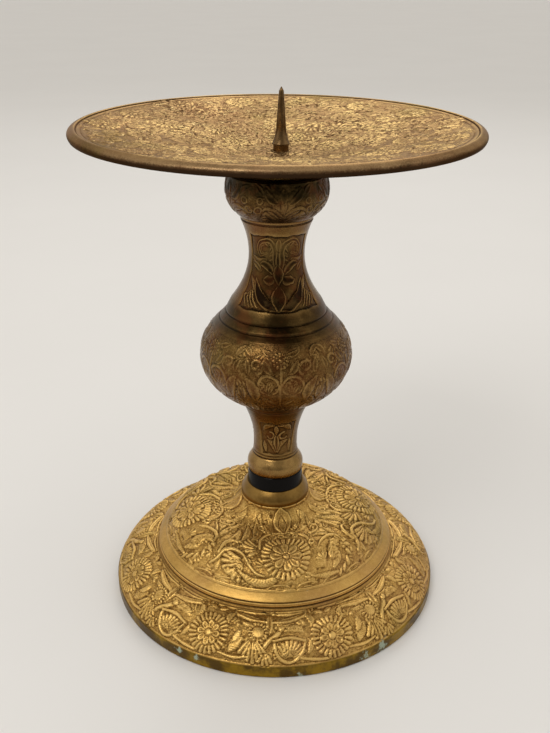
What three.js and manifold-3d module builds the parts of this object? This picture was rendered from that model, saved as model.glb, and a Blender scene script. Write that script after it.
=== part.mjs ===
// A brass pedestal candlestick, as it comes apart on a bench. Its turned pieces stand on one another around a
// steel tie rod: a hollow domed foot, a collar, a black spacer ring, the lower stem, a hollow ball, the neck,
// the cup, a seat disc and a dished drip plate. The rod screws into the cup from below, and a nut and washer
// under the foot draw the stack together. A pricket screws down through the plate into the cup's top.
// Millimetres, +Z up. The foot stands on z = 0 and the stack's axis is Z.
import * as THREE from 'three';
import { mergeVertices } from 'three/addons/utils/BufferGeometryUtils.js';
import Module from 'manifold-3d';

const wasm = await Module();
wasm.setup();

// Foot
const footRadius = 70.5;
const footRise = 41.4;
const footWall = 3;
const footCrown = 4.4;
const footEdgeRise = 4.8;
const footEdgeChamfer = 0.5;
const footEdgeAngle = 115;
const footEdgePull = 0.37;
const stepRadius = 52.4;
const stepRise = 17.2;
const stepAngle = 176;
const bandRadius = 51.7;
const bandRise = 20.5;
const bandAngle = 100;
const bandTopAngle = 145;
const domeRadius = 48.4;
const domeRise = 23.3;
const domeAngle = 122;
const domePull = 0.67;
const domeTopAngle = 114;
const domeTopPull = 0.43;

// Collar and black ring between the foot and the stem
const footCollarRadius = 14.6;
const footCollarTopRadius = 12.3;
const footCollarHeight = 6;
const footCollarAngle = 80;
const footCollarTopAngle = 130;
const blackRingBottomRadius = 12.1;
const blackRingTopRadius = 11.5;
const blackRingHeight = 5.9;

// Lower stem
const lowerStemHeight = 32.5;
const lowerStemTopRadius = 13.9;
const lowerStemWaistRadius = 9.2;
const lowerStemWaistRise = 13.7;
const skirtRadius = 11.9;
const skirtRise = 3.4;
const skirtTopRise = 8.2;
const skirtBottomRadius = 11.1;
const skirtBottomAngle = 50;
const skirtTopAngle = 118;
const skirtTopFlare = 0.5;

// Ball, an oblate hollow casting with a wide mouth that the neck's spigot closes
const ballHeight = 40.5;
const ballRadius = 31;
const ballHalfHeight = 23;
const ballSeamHeight = 2;
const ballWall = 3;
const ballFloorRadius = 11.6;
const ballMouthRadius = 14.3;
const ballBandRadius = 23.5;
const ballTopRadius = 20.5;
const ballUndercut = 1;

// Neck
const neckHeight = 37.3;
const neckWaistRadius = 10.9;
const neckWaistRise = 23.7;
const neckTopRadius = 14;
const neckFlareRadius = 18.2;
const neckBandHeight = 4.5;
const spigotHeight = 3;
const spigotClearance = 0.3;

// Cup under the plate
const cupHeight = 17.4;
const cupRadius = 19.9;
const cupWaistRadius = 14.2;
const cupWaistHeight = 1.5;
const cupUndercut = 0.6;
const cupBulgeRise = 11.2;
const cupBulgeHalfHeight = 14;
const cupTopRadius = 18.9;

// Seat disc and drip plate
const seatHeight = 6;
const seatBottomRadius = 16.9;
const seatTopRadius = 19;
const plateRadius = 76;
const plateThickness = 2.2;
const plateRise = 9.6;
const plateFlatRadius = 12;
const lipWidth = 3.6;
const lipCrown = 0.5;
const lipDrop = 3;
const lipCrestShare = 0.33;
const lipBrimAngle = 95;
const lipCrestAngle = 165;

// Pricket, its captive collar and its screw thread, drilled a little off the axis by hand
const pricketOffset = 1.3;
const pricketHeight = 20.4;
const pricketSkirtRadius = 3.4;
const pricketWaistRadius = 1.8;
const pricketWaistRise = 6.7;
const pricketPointRadius = 0.9;
const pricketPointHeight = 1.5;
const pricketThreadRadius = 2;
const pricketThreadLength = 7.5;
const pricketHoleDepth = 8;
const pricketCollarRadius = 2.9;
const pricketCollarHeight = 2.4;

// Tie rod, washer and nut
const rodRadius = 3;
const rodThreadDepth = 7;
const rodEndGap = 0.4;
const rodTail = 2;
const rodChamfer = 0.5;
const washerRadius = 9;
const washerThickness = 1.6;
const nutAcrossFlats = 10;
const nutHeight = 5;

// Play in a clearance hole, and between two threads that turn in each other
const holeClearance = 0.3;
const threadClearance = 0.1;

// How hard a plain curve is pulled along its end directions, as a share of its length
const plainPull = 0.37;

// How far a drill runs past a face
const drillOverrun = 1;

// Sides of a turned piece: wide, middling and thin ones
const wideSides = 64;
const stemSides = 40;
const thinSides = 24;

// Where each piece of the stack starts, from the table up
const footCollarBottom = footRise;
const blackRingBottom = footCollarBottom + footCollarHeight;
const lowerStemBottom = blackRingBottom + blackRingHeight;
const ballBottom = lowerStemBottom + lowerStemHeight;
const neckBottom = ballBottom + ballHeight;
const cupBottom = neckBottom + neckHeight;
const seatBottom = cupBottom + cupHeight;
const plateBottom = seatBottom + seatHeight;
const plateTop = plateBottom + plateThickness;
const pricketBottom = plateTop + pricketCollarHeight;
const washerTop = footRise - footCrown;
const nutTop = washerTop - washerThickness;

const rodHole = rodRadius + holeClearance;
const pricketHole = pricketThreadRadius + holeClearance;

const brass = metal(0xa8854a, 0.42);
const darkBrass = metal(0x7d602f, 0.45);
const paleBrass = metal(0xb99b60, 0.4);
const blackLacquer = new THREE.MeshStandardMaterial({ color: 0x14110f, roughness: 0.2, metalness: 0 });
const steel = metal(0x8d8d8a, 0.45);

function metal(color, roughness) {
  return new THREE.MeshStandardMaterial({ color, roughness, metalness: 1 });
}

function radians(degrees) {
  return (degrees * Math.PI) / 180;
}

// Outlines are lists of [radius, height] points, drawn with the material on the left of the way they run.

// A curve that leaves one point at an angle and reaches the next at another, both from the radius axis
function sweep(from, fromAngle, to, toAngle, steps, fromPull = plainPull, toPull = plainPull) {
  const length = Math.hypot(to[0] - from[0], to[1] - from[1]);
  const along = (point, degrees, distance) => new THREE.Vector2(
    point[0] + distance * Math.cos(radians(degrees)),
    point[1] + distance * Math.sin(radians(degrees)),
  );
  const curve = new THREE.CubicBezierCurve(
    along(from, 0, 0),
    along(from, fromAngle, fromPull * length),
    along(to, toAngle, -toPull * length),
    along(to, 0, 0),
  );
  return curve.getPoints(steps).map((point) => [point.x, point.y]);
}

// A parabola that runs along the axis at its waist and flares to the other end
function flare(waistRadius, waistHeight, endRadius, endHeight, steps) {
  const points = [];
  for (let step = 0; step <= steps; step += 1) {
    const share = step / steps;
    points.push([
      waistRadius + (endRadius - waistRadius) * share * share,
      waistHeight + (endHeight - waistHeight) * share,
    ]);
  }
  return points;
}

// The part of an upright ellipse round the axis between two heights
function bulge(radius, halfHeight, centre, fromHeight, toHeight, steps) {
  const fromAngle = Math.asin((fromHeight - centre) / halfHeight);
  const toAngle = Math.asin((toHeight - centre) / halfHeight);
  const points = [];
  for (let step = 0; step <= steps; step += 1) {
    const angle = fromAngle + ((toAngle - fromAngle) * step) / steps;
    points.push([radius * Math.cos(angle), centre + halfHeight * Math.sin(angle)]);
  }
  return points;
}

// How far above its middle an ellipse has narrowed to a radius
function riseAtRadius(radius, halfHeight, narrowed) {
  return halfHeight * Math.sqrt(1 - (narrowed / radius) ** 2);
}

// The same run of points, moved square to itself into the metal
function inset(points, distance) {
  return points.map((point, index) => {
    const before = points[Math.max(index - 1, 0)];
    const after = points[Math.min(index + 1, points.length - 1)];
    const length = Math.hypot(after[0] - before[0], after[1] - before[1]);
    return [
      point[0] - (distance * (after[1] - before[1])) / length,
      point[1] + (distance * (after[0] - before[0])) / length,
    ];
  });
}

// Turns an outline about the Z axis
function turned(outline, sides) {
  const points = outline.map(([radius, height]) => new THREE.Vector2(radius, height));
  return new THREE.LatheGeometry(points, sides).rotateX(Math.PI / 2);
}

// Turns an outline that goes back to its first point, which leaves a bore along the axis
function turnedRing(outline, sides) {
  return turned([...outline, outline[0]], sides);
}

function named(name, geometry, material) {
  const mesh = new THREE.Mesh(geometry, material);
  mesh.name = name;
  return mesh;
}

function solid(geometry) {
  const bare = geometry.clone();
  bare.deleteAttribute('normal');
  bare.deleteAttribute('uv');
  const merged = mergeVertices(bare);
  const corners = merged.index.array;
  const kept = [];
  for (let corner = 0; corner < corners.length; corner += 3) {
    const [a, b, c] = [corners[corner], corners[corner + 1], corners[corner + 2]];
    if (a !== b && b !== c && c !== a) {
      kept.push(a, b, c);
    }
  }
  const mesh = new wasm.Mesh({
    numProp: 3,
    vertProperties: merged.attributes.position.array,
    triVerts: new Uint32Array(kept),
  });
  return new wasm.Manifold(mesh);
}

function geometryOf(body) {
  const mesh = body.getMesh();
  const geometry = new THREE.BufferGeometry();
  geometry.setAttribute('position', new THREE.BufferAttribute(mesh.vertProperties, 3));
  geometry.setIndex(new THREE.BufferAttribute(mesh.triVerts, 1));
  geometry.computeVertexNormals();
  return geometry;
}

// Drills the pricket's hole, off the axis, down from one height to another
function drilled(geometry, radius, top, bottom) {
  const drill = new THREE.CylinderGeometry(radius, radius, top - bottom, thinSides);
  drill.rotateX(Math.PI / 2);
  drill.translate(pricketOffset, 0, (top + bottom) / 2);
  return geometryOf(solid(geometry).subtract(solid(drill)));
}

// The foot's outside is an ogee dome, a band and a bead over a groove, and a round-shouldered rim.
// Its inside follows the rim and the dome at an even wall, up to the boss that the washer bears on.
function foot() {
  const edge = [footRadius, footEdgeRise];
  const step = [stepRadius, stepRise];
  const band = [bandRadius, bandRise];
  const dome = [domeRadius, domeRise];
  const seat = [footCollarRadius, footRise];
  const rimCurve = sweep(edge, footEdgeAngle, step, stepAngle, 8, footEdgePull, footEdgePull);
  const domeCurve = sweep(dome, domeAngle, seat, domeTopAngle, 10, domePull, domeTopPull);
  const rimInside = inset(rimCurve, footWall);
  const domeInside = inset(domeCurve, footWall).filter(([, height]) => height < washerTop);
  const outline = [
    [footRadius - footEdgeChamfer, 0],
    [footRadius, footEdgeChamfer],
    ...rimCurve,
    ...sweep(band, bandAngle, dome, bandTopAngle, 3),
    ...domeCurve.slice(1),
    [rodHole, footRise],
    [rodHole, washerTop],
    [washerRadius + holeClearance, washerTop],
    ...domeInside.reverse(),
    ...rimInside.reverse(),
    [footRadius - footWall, 0],
  ];
  return named('foot', turnedRing(outline, wideSides), brass);
}

function footCollar() {
  const top = blackRingBottom;
  const outline = [
    [rodHole, footCollarBottom],
    ...sweep(
      [footCollarRadius, footCollarBottom], footCollarAngle,
      [footCollarTopRadius, top], footCollarTopAngle, 5,
    ),
    [rodHole, top],
  ];
  return named('foot_collar', turnedRing(outline, stemSides), darkBrass);
}

function blackRing() {
  const outline = [
    [rodHole, blackRingBottom],
    [blackRingBottomRadius, blackRingBottom],
    [blackRingTopRadius, lowerStemBottom],
    [rodHole, lowerStemBottom],
  ];
  return named('black_ring', turnedRing(outline, stemSides), blackLacquer);
}

function lowerStem() {
  const waist = lowerStemBottom + lowerStemWaistRise;
  const skirtTop = lowerStemBottom + skirtTopRise;
  const skirtMiddle = [skirtRadius, lowerStemBottom + skirtRise];
  const skirtTopRadius = lowerStemWaistRadius + skirtTopFlare;
  const skirtFlare = flare(lowerStemWaistRadius, waist, skirtTopRadius, skirtTop, 2).reverse();
  const outline = [
    [rodHole, lowerStemBottom],
    ...sweep([skirtBottomRadius, lowerStemBottom], skirtBottomAngle, skirtMiddle, 90, 2),
    ...sweep(skirtMiddle, 90, skirtFlare[0], skirtTopAngle, 3).slice(1),
    ...skirtFlare.slice(1),
    ...flare(lowerStemWaistRadius, waist, lowerStemTopRadius, ballBottom, 6).slice(1),
    [rodHole, ballBottom],
  ];
  return named('lower_stem', turnedRing(outline, stemSides), darkBrass);
}

function ballKnop() {
  const bandRise = riseAtRadius(ballRadius, ballHalfHeight, ballBandRadius);
  const footFall = riseAtRadius(ballRadius, ballHalfHeight, lowerStemTopRadius + ballUndercut);
  const centre = ballBottom + ballSeamHeight + footFall;
  const hollowRadius = ballRadius - ballWall;
  const hollowHalfHeight = ballHalfHeight - ballWall;
  const mouthRise = riseAtRadius(hollowRadius, hollowHalfHeight, ballMouthRadius);
  const floor = centre - riseAtRadius(hollowRadius, hollowHalfHeight, ballFloorRadius);
  const outline = [
    [rodHole, ballBottom],
    [lowerStemTopRadius, ballBottom],
    ...bulge(ballRadius, ballHalfHeight, centre, centre - footFall, centre + bandRise, 12),
    [ballTopRadius, neckBottom],
    [ballMouthRadius, neckBottom],
    ...bulge(hollowRadius, hollowHalfHeight, centre, centre + mouthRise, floor, 8),
    [rodHole, floor],
  ];
  return named('ball_knop', turnedRing(outline, stemSides), darkBrass);
}

function neck() {
  const waist = neckBottom + neckWaistRise;
  const bandTop = neckBottom + neckBandHeight;
  const spigotRadius = ballMouthRadius - spigotClearance;
  const outline = [
    [rodHole, neckBottom - spigotHeight],
    [spigotRadius, neckBottom - spigotHeight],
    [spigotRadius, neckBottom],
    [ballTopRadius, neckBottom],
    ...flare(neckWaistRadius, waist, neckFlareRadius, bandTop, 6).reverse(),
    ...flare(neckWaistRadius, waist, neckTopRadius, cupBottom, 4).slice(1),
    [rodHole, cupBottom],
  ];
  return named('neck', turnedRing(outline, stemSides), darkBrass);
}

// The cup is solid, with a blind tapped hole for the rod below and one for the pricket above
function cup() {
  const centre = cupBottom + cupBulgeRise;
  const bulgeFall = riseAtRadius(cupRadius, cupBulgeHalfHeight, cupWaistRadius + cupUndercut);
  const rodHoleTop = cupBottom + rodThreadDepth + rodEndGap;
  const outline = [
    [0, rodHoleTop],
    [rodRadius + threadClearance, rodHoleTop],
    [rodRadius + threadClearance, cupBottom],
    [neckTopRadius, cupBottom],
    [cupWaistRadius, cupBottom + cupWaistHeight],
    ...bulge(cupRadius, cupBulgeHalfHeight, centre, centre - bulgeFall, centre, 6),
    ...flare(cupRadius, centre, cupTopRadius, seatBottom, 3).slice(1),
    [0, seatBottom],
  ];
  const holeRadius = pricketThreadRadius + threadClearance;
  const holeBottom = seatBottom - pricketHoleDepth;
  const geometry = drilled(turned(outline, stemSides), holeRadius, seatBottom + drillOverrun, holeBottom);
  return named('cup', geometry, darkBrass);
}

function plateSeat() {
  const outline = [
    [0, seatBottom],
    [seatBottomRadius, seatBottom],
    [seatTopRadius, plateBottom],
    [0, plateBottom],
  ];
  const through = [plateBottom + drillOverrun, seatBottom - drillOverrun];
  const geometry = drilled(turned(outline, stemSides), pricketHole, ...through);
  return named('plate_seat', geometry, darkBrass);
}

// The plate is flat in the middle, rises to its lip in a straight shallow cone and ends in a rolled lip
function dripPlate() {
  const lipRadius = plateRadius - lipWidth;
  const lipTop = plateTop + plateRise;
  const crest = [lipRadius + lipWidth * lipCrestShare, lipTop + lipCrown];
  const brim = [plateRadius, lipTop - lipDrop / 2];
  const outline = [
    [0, plateBottom],
    [Math.max(plateFlatRadius, seatTopRadius + holeClearance), plateBottom],
    [lipRadius, lipTop - lipDrop],
    [plateRadius - lipCrown, lipTop - lipDrop],
    brim,
    ...sweep(brim, lipBrimAngle, crest, lipCrestAngle, 3).slice(1),
    [lipRadius, lipTop],
    [plateFlatRadius, plateTop],
    [0, plateTop],
  ];
  const through = [plateTop + drillOverrun, plateBottom - drillOverrun];
  const geometry = drilled(turned(outline, wideSides), pricketHole, ...through);
  return named('drip_plate', geometry, paleBrass);
}

function pricketCollar() {
  const outline = [
    [pricketHole, plateTop],
    [pricketCollarRadius, plateTop],
    [pricketCollarRadius, pricketBottom],
    [pricketHole, pricketBottom],
  ];
  const collar = named('pricket_collar', turnedRing(outline, thinSides), darkBrass);
  collar.position.x = pricketOffset;
  return collar;
}

function pricket() {
  const tip = pricketBottom + pricketHeight;
  const waist = pricketBottom + pricketWaistRise;
  const outline = [
    [0, seatBottom - pricketThreadLength],
    [pricketThreadRadius, seatBottom - pricketThreadLength],
    [pricketThreadRadius, pricketBottom],
    ...flare(pricketWaistRadius, waist, pricketSkirtRadius, pricketBottom, 5).reverse(),
    [pricketPointRadius, tip - pricketPointHeight],
    [0, tip],
  ];
  const spike = named('pricket', turned(outline, thinSides), darkBrass);
  spike.position.x = pricketOffset;
  return spike;
}

function tieRod() {
  const bottom = nutTop - nutHeight - rodTail;
  const top = cupBottom + rodThreadDepth;
  const outline = [
    [0, bottom],
    [rodRadius - rodChamfer, bottom],
    [rodRadius, bottom + rodChamfer],
    [rodRadius, top - rodChamfer],
    [rodRadius - rodChamfer, top],
    [0, top],
  ];
  return named('tie_rod', turned(outline, thinSides), steel);
}

function footWasher() {
  const outline = [
    [rodHole, nutTop],
    [washerRadius, nutTop],
    [washerRadius, washerTop],
    [rodHole, washerTop],
  ];
  return named('foot_washer', turnedRing(outline, stemSides), steel);
}

function footNut() {
  const corners = [];
  for (let side = 0; side < 6; side += 1) {
    const angle = radians(60 * side);
    const reach = nutAcrossFlats / 2 / Math.cos(radians(30));
    corners.push(new THREE.Vector2(reach * Math.cos(angle), reach * Math.sin(angle)));
  }
  const hexagon = new THREE.Shape(corners);
  const bore = new THREE.Path();
  bore.absarc(0, 0, rodRadius + threadClearance, 0, 2 * Math.PI, true);
  hexagon.holes.push(bore);
  const geometry = new THREE.ExtrudeGeometry(hexagon, {
    depth: nutHeight,
    bevelEnabled: false,
    curveSegments: thinSides,
  });
  geometry.translate(0, 0, nutTop - nutHeight);
  return named('foot_nut', geometry, steel);
}

const candlestick = new THREE.Group();
candlestick.add(
  foot(),
  footCollar(),
  blackRing(),
  lowerStem(),
  ballKnop(),
  neck(),
  cup(),
  plateSeat(),
  dripPlate(),
  pricketCollar(),
  pricket(),
  tieRod(),
  footWasher(),
  footNut(),
);

export default candlestick;
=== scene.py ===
import math

import bmesh
import bpy
import numpy as np
from mathutils import Euler, Matrix, Vector


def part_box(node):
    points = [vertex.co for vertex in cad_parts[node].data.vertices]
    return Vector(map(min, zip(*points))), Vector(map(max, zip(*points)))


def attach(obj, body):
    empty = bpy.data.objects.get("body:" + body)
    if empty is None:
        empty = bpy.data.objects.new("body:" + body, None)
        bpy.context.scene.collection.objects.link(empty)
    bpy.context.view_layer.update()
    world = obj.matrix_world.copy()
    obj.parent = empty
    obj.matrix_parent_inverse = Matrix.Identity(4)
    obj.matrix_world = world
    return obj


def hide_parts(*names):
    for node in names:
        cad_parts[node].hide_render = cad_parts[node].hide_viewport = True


# A brass pedestal candlestick: chased foot, stem, ball, neck and cup, and an engraved drip plate with a pricket.
# Sizes here are in millimetres, and each piece turns about the Z axis unless it says otherwise.

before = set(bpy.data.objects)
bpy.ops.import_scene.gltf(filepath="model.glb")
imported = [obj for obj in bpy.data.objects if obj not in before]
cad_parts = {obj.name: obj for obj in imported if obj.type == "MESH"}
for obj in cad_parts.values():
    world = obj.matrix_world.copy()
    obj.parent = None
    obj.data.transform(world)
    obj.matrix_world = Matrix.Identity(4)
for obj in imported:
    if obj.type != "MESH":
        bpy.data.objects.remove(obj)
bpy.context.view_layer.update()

MM = 0.001


def low(node):
    """Height of the lowest point of a CAD node."""
    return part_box(node)[0].z / MM


def high(node):
    """Height of the highest point of a CAD node."""
    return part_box(node)[1].z / MM


def widest(node):
    """Largest radius of a CAD node that is turned about the Z axis."""
    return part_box(node)[1].x / MM


# Photograph and camera

PHOTO_WIDTH = 550
PHOTO_HEIGHT = 733
FOCAL_PIXELS = 896
CAMERA_DISTANCE = 335.8
CAMERA_HEIGHT = 255.4
CAMERA_PITCH = 24.73
CAMERA_ROLL = 0.41
AXIS_PIXELS_RIGHT = 0.85
SENSOR_WIDTH = 36

# Turned shapes of the foot

FOOT_RADIUS = widest("foot")
FOOT_TOP = high("foot")
FOOT_WALL = 3
HUB_RADIUS = 9.3
HUB_HEIGHT = 4.4
FOOT_EDGE_RISE = 4.8
FOOT_EDGE_ROUNDING = 0.5

# Dark bands on the stem, tarnish with painted shade under the plate and round the ball's shoulder: level, half height
# and share

STEM_TARNISH_AND_SHADE = ((126, 7, 0.7), (182, 11, 0.95), (172, 9, 0.4), (87, 5, 0.45), (146, 9, 0.3))

# Dark spots painted on the front of the stem as dark reflections: level, distance from the axis, reach and share

STEM_DARK_REFLECTIONS = ((127, 22, 8, 0.75), (140, 15, 9, 0.6), (152, 11, 9, 0.45), (181, 18, 9, 0.5))

# Green spots on the foot's edge: bearing from the front in degrees, height and reach

EDGE_SPOTS = ((38, 3.0, 5.5), (31, 1.8, 4.5), (8.5, 0.8, 3.4), (-26, 3.2, 2.8), (-32.5, 3.8, 3.2), (160, 2.0, 5))

STEP_RADIUS = 52.4
STEP_HEIGHT = 17.2
BEAD_RADIUS = 51.7
BEAD_HEIGHT = 20.5
DOME_RADIUS = 48.4
DOME_HEIGHT = 23.3
BOSS_RADIUS = widest("foot_collar")
COLLAR_TOP_RADIUS = 12.3
RING_TOP_RADIUS = 11.5

# Grooves of the moulding: distance up the outline, width and depth

MOULDING_GROOVES = ((1.75, 0.27, 0.42), (2.9, 0.15, 0.12), (4.15, 0.32, 0.46))

# Turned shapes of the stem, ball, neck and cup

STEM_TOP_RADIUS = 13.9
STEM_WAIST_RADIUS = 9.2
STEM_WAIST_RISE = 13.7
BAND_RADIUS = 11.9
BAND_RISE = 3.4
BAND_TOP_RISE = 8.2
BAND_BOTTOM_RADIUS = 11.1
BALL_RADIUS = 31
BALL_HALF_HEIGHT = 23
BALL_SEAM_HEIGHT = 2
BALL_UNDERCUT = 1
BALL_FLOOR_RADIUS = 11.6
BALL_WALL = 3
BALL_SHOULDER_RADIUS = 23.5
BALL_TOP_RADIUS = 20.5
BALL_MOUTH_RADIUS = 14.3
NECK_WAIST_RADIUS = 10.9
NECK_WAIST_RISE = 23.7
NECK_TOP_RADIUS = 14
NECK_FLARE_RADIUS = 18.2
NECK_BAND_RISE = 4.5
SPIGOT_HEIGHT = 3
SPIGOT_CLEARANCE = 0.3
CUP_RADIUS = 19.9
CUP_WAIST_RADIUS = 14.2
CUP_WAIST_RISE = 1.5
CUP_BULGE_RISE = 11.2
CUP_BULGE_HALF_HEIGHT = 14
CUP_TOP_RADIUS = 18.9
CUP_UNDERCUT = 0.6
ROD_DEPTH = 7.4
SHANK_DEPTH = 8
SHANK_BORE_RADIUS = 2.1

# Radius of the neck at five levels of its chased panels, each measured from the panel's middle

PANEL_EDGE = ((17.2, -13.9), (13.6, -6), (11.5, 1), (10.9, 8), (11.8, 15.3))

# Turned shapes of the plate and the pricket

SEAT_BOTTOM_RADIUS = 16.9
PLATE_RADIUS = widest("drip_plate")
PLATE_THICKNESS = 2.2
PLATE_RISE = 9.6
PLATE_FLAT_RADIUS = 12
LIP_WIDTH = 3.6
LIP_CROWN = 0.5
LIP_DROP = 3
LIP_CREST_SHARE = 0.33
PLATE_HOLE_RADIUS = 2.3
PLATE_SEAT_RADIUS = 19.3

# Rings of flowers on the plate: how many, how far in from the lip, their radius, petals and first bearing

PLATE_FLOWERS = (
    (15, 8.6, 6.2, 8, 3),
    (11, 24.0, 6.6, 9, 14),
    (8, 39.5, 5.8, 8, 0),
    (5, 54.0, 5.0, 7, 20),
)

# Short cuts scattered on the plate

PLATE_CUTS = 90

# Turning by this share of a circle each time spreads things evenly

GOLDEN_SHARE = 0.618

PRICKET_OFFSET = 1.3
PRICKET_SKIRT_RADIUS = 3.4
PRICKET_WAIST_RADIUS = 1.8
PRICKET_WAIST_RISE = 6.7
PRICKET_POINT_RADIUS = 0.9
PRICKET_POINT_HEIGHT = 1.5
PRICKET_THREAD_RADIUS = 2
PRICKET_COLLAR_RADIUS = 2.9
ROD_RADIUS = 3
BORE_RADIUS = 3.3

# Threads and the hexagon nut: pitch and depth of each thread, half the nut's width across its flats, its chamfer

PRICKET_PITCH = 0.7
PRICKET_THREAD_DEPTH = 0.36
ROD_PITCH = 1
ROD_THREAD_DEPTH = 0.5
ROD_THREADED = 24
NUT_HALF_FLATS = 5
NUT_CHAMFER = 0.45
WASHER_ROUNDING = 0.3

# Levels, from the frame

COLLAR_BOTTOM = low("foot_collar")
RING_BOTTOM = low("black_ring")
STEM_BOTTOM = low("lower_stem")
BALL_BOTTOM = low("ball_knop")
NECK_BOTTOM = high("ball_knop")
CUP_BOTTOM = low("cup")
CUP_TOP = high("cup")
SEAT_BOTTOM = low("plate_seat")
PLATE_BOTTOM = low("drip_plate")
PLATE_TOP = PLATE_BOTTOM + PLATE_THICKNESS


# Outlines are rows of [radius, height], with the metal on the left of the way they run


def sweep(start, start_angle, end, end_angle, steps, start_pull=0.37, end_pull=0.37):
    """A curve that leaves one point at an angle and reaches the next at another."""
    start = np.array(start, float)
    end = np.array(end, float)
    length = np.linalg.norm(end - start)
    heading = lambda angle: np.array([math.cos(math.radians(angle)), math.sin(math.radians(angle))])
    first = start + heading(start_angle) * length * start_pull
    second = end - heading(end_angle) * length * end_pull
    t = np.linspace(0, 1, steps + 1)[:, None]
    return (1 - t) ** 3 * start + 3 * (1 - t) ** 2 * t * first + 3 * (1 - t) * t**2 * second + t**3 * end


def flare(waist_radius, waist_height, end_radius, end_height, steps):
    """A parabola that runs along the axis at its waist and flares to the other end."""
    share = np.linspace(0, 1, steps + 1)
    radius = waist_radius + (end_radius - waist_radius) * share**2
    return np.column_stack([radius, waist_height + (end_height - waist_height) * share])


def bulge(radius, half_height, centre, start_height, end_height, steps):
    """The part of an upright ellipse round the axis between two heights."""
    start = math.asin((start_height - centre) / half_height)
    end = math.asin((end_height - centre) / half_height)
    angle = np.linspace(start, end, steps + 1)
    return np.column_stack([radius * np.cos(angle), centre + half_height * np.sin(angle)])


def rise_at_radius(radius, half_height, narrowed):
    """How far above its middle an ellipse has narrowed to a radius."""
    return half_height * math.sqrt(1 - (narrowed / radius) ** 2)


def evenly(points, spacing):
    """The same outline with points at an even spacing along it."""
    points = np.array(points, float)
    steps = np.linalg.norm(np.diff(points, axis=0), axis=1)
    run = np.concatenate([[0], np.cumsum(steps)])
    count = max(2, int(round(run[-1] / spacing)) + 1)
    at = np.linspace(0, run[-1], count)
    return np.column_stack([np.interp(at, run, points[:, 0]), np.interp(at, run, points[:, 1])])


def inset(points, distance):
    """The same outline, moved square to itself into the metal."""
    ahead = np.gradient(points, axis=0)
    ahead /= np.linalg.norm(ahead, axis=1)[:, None]
    return points + distance * np.column_stack([-ahead[:, 1], ahead[:, 0]])


def smoothly(low_edge, high_edge, value):
    """0 below the low edge, 1 above the high edge and an even slope between them."""
    share = np.clip((value - low_edge) / (high_edge - low_edge), 0, 1)
    return share * share * (3 - 2 * share)


# Chasing: the relief of a turned surface, as a height over each of its points


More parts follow.
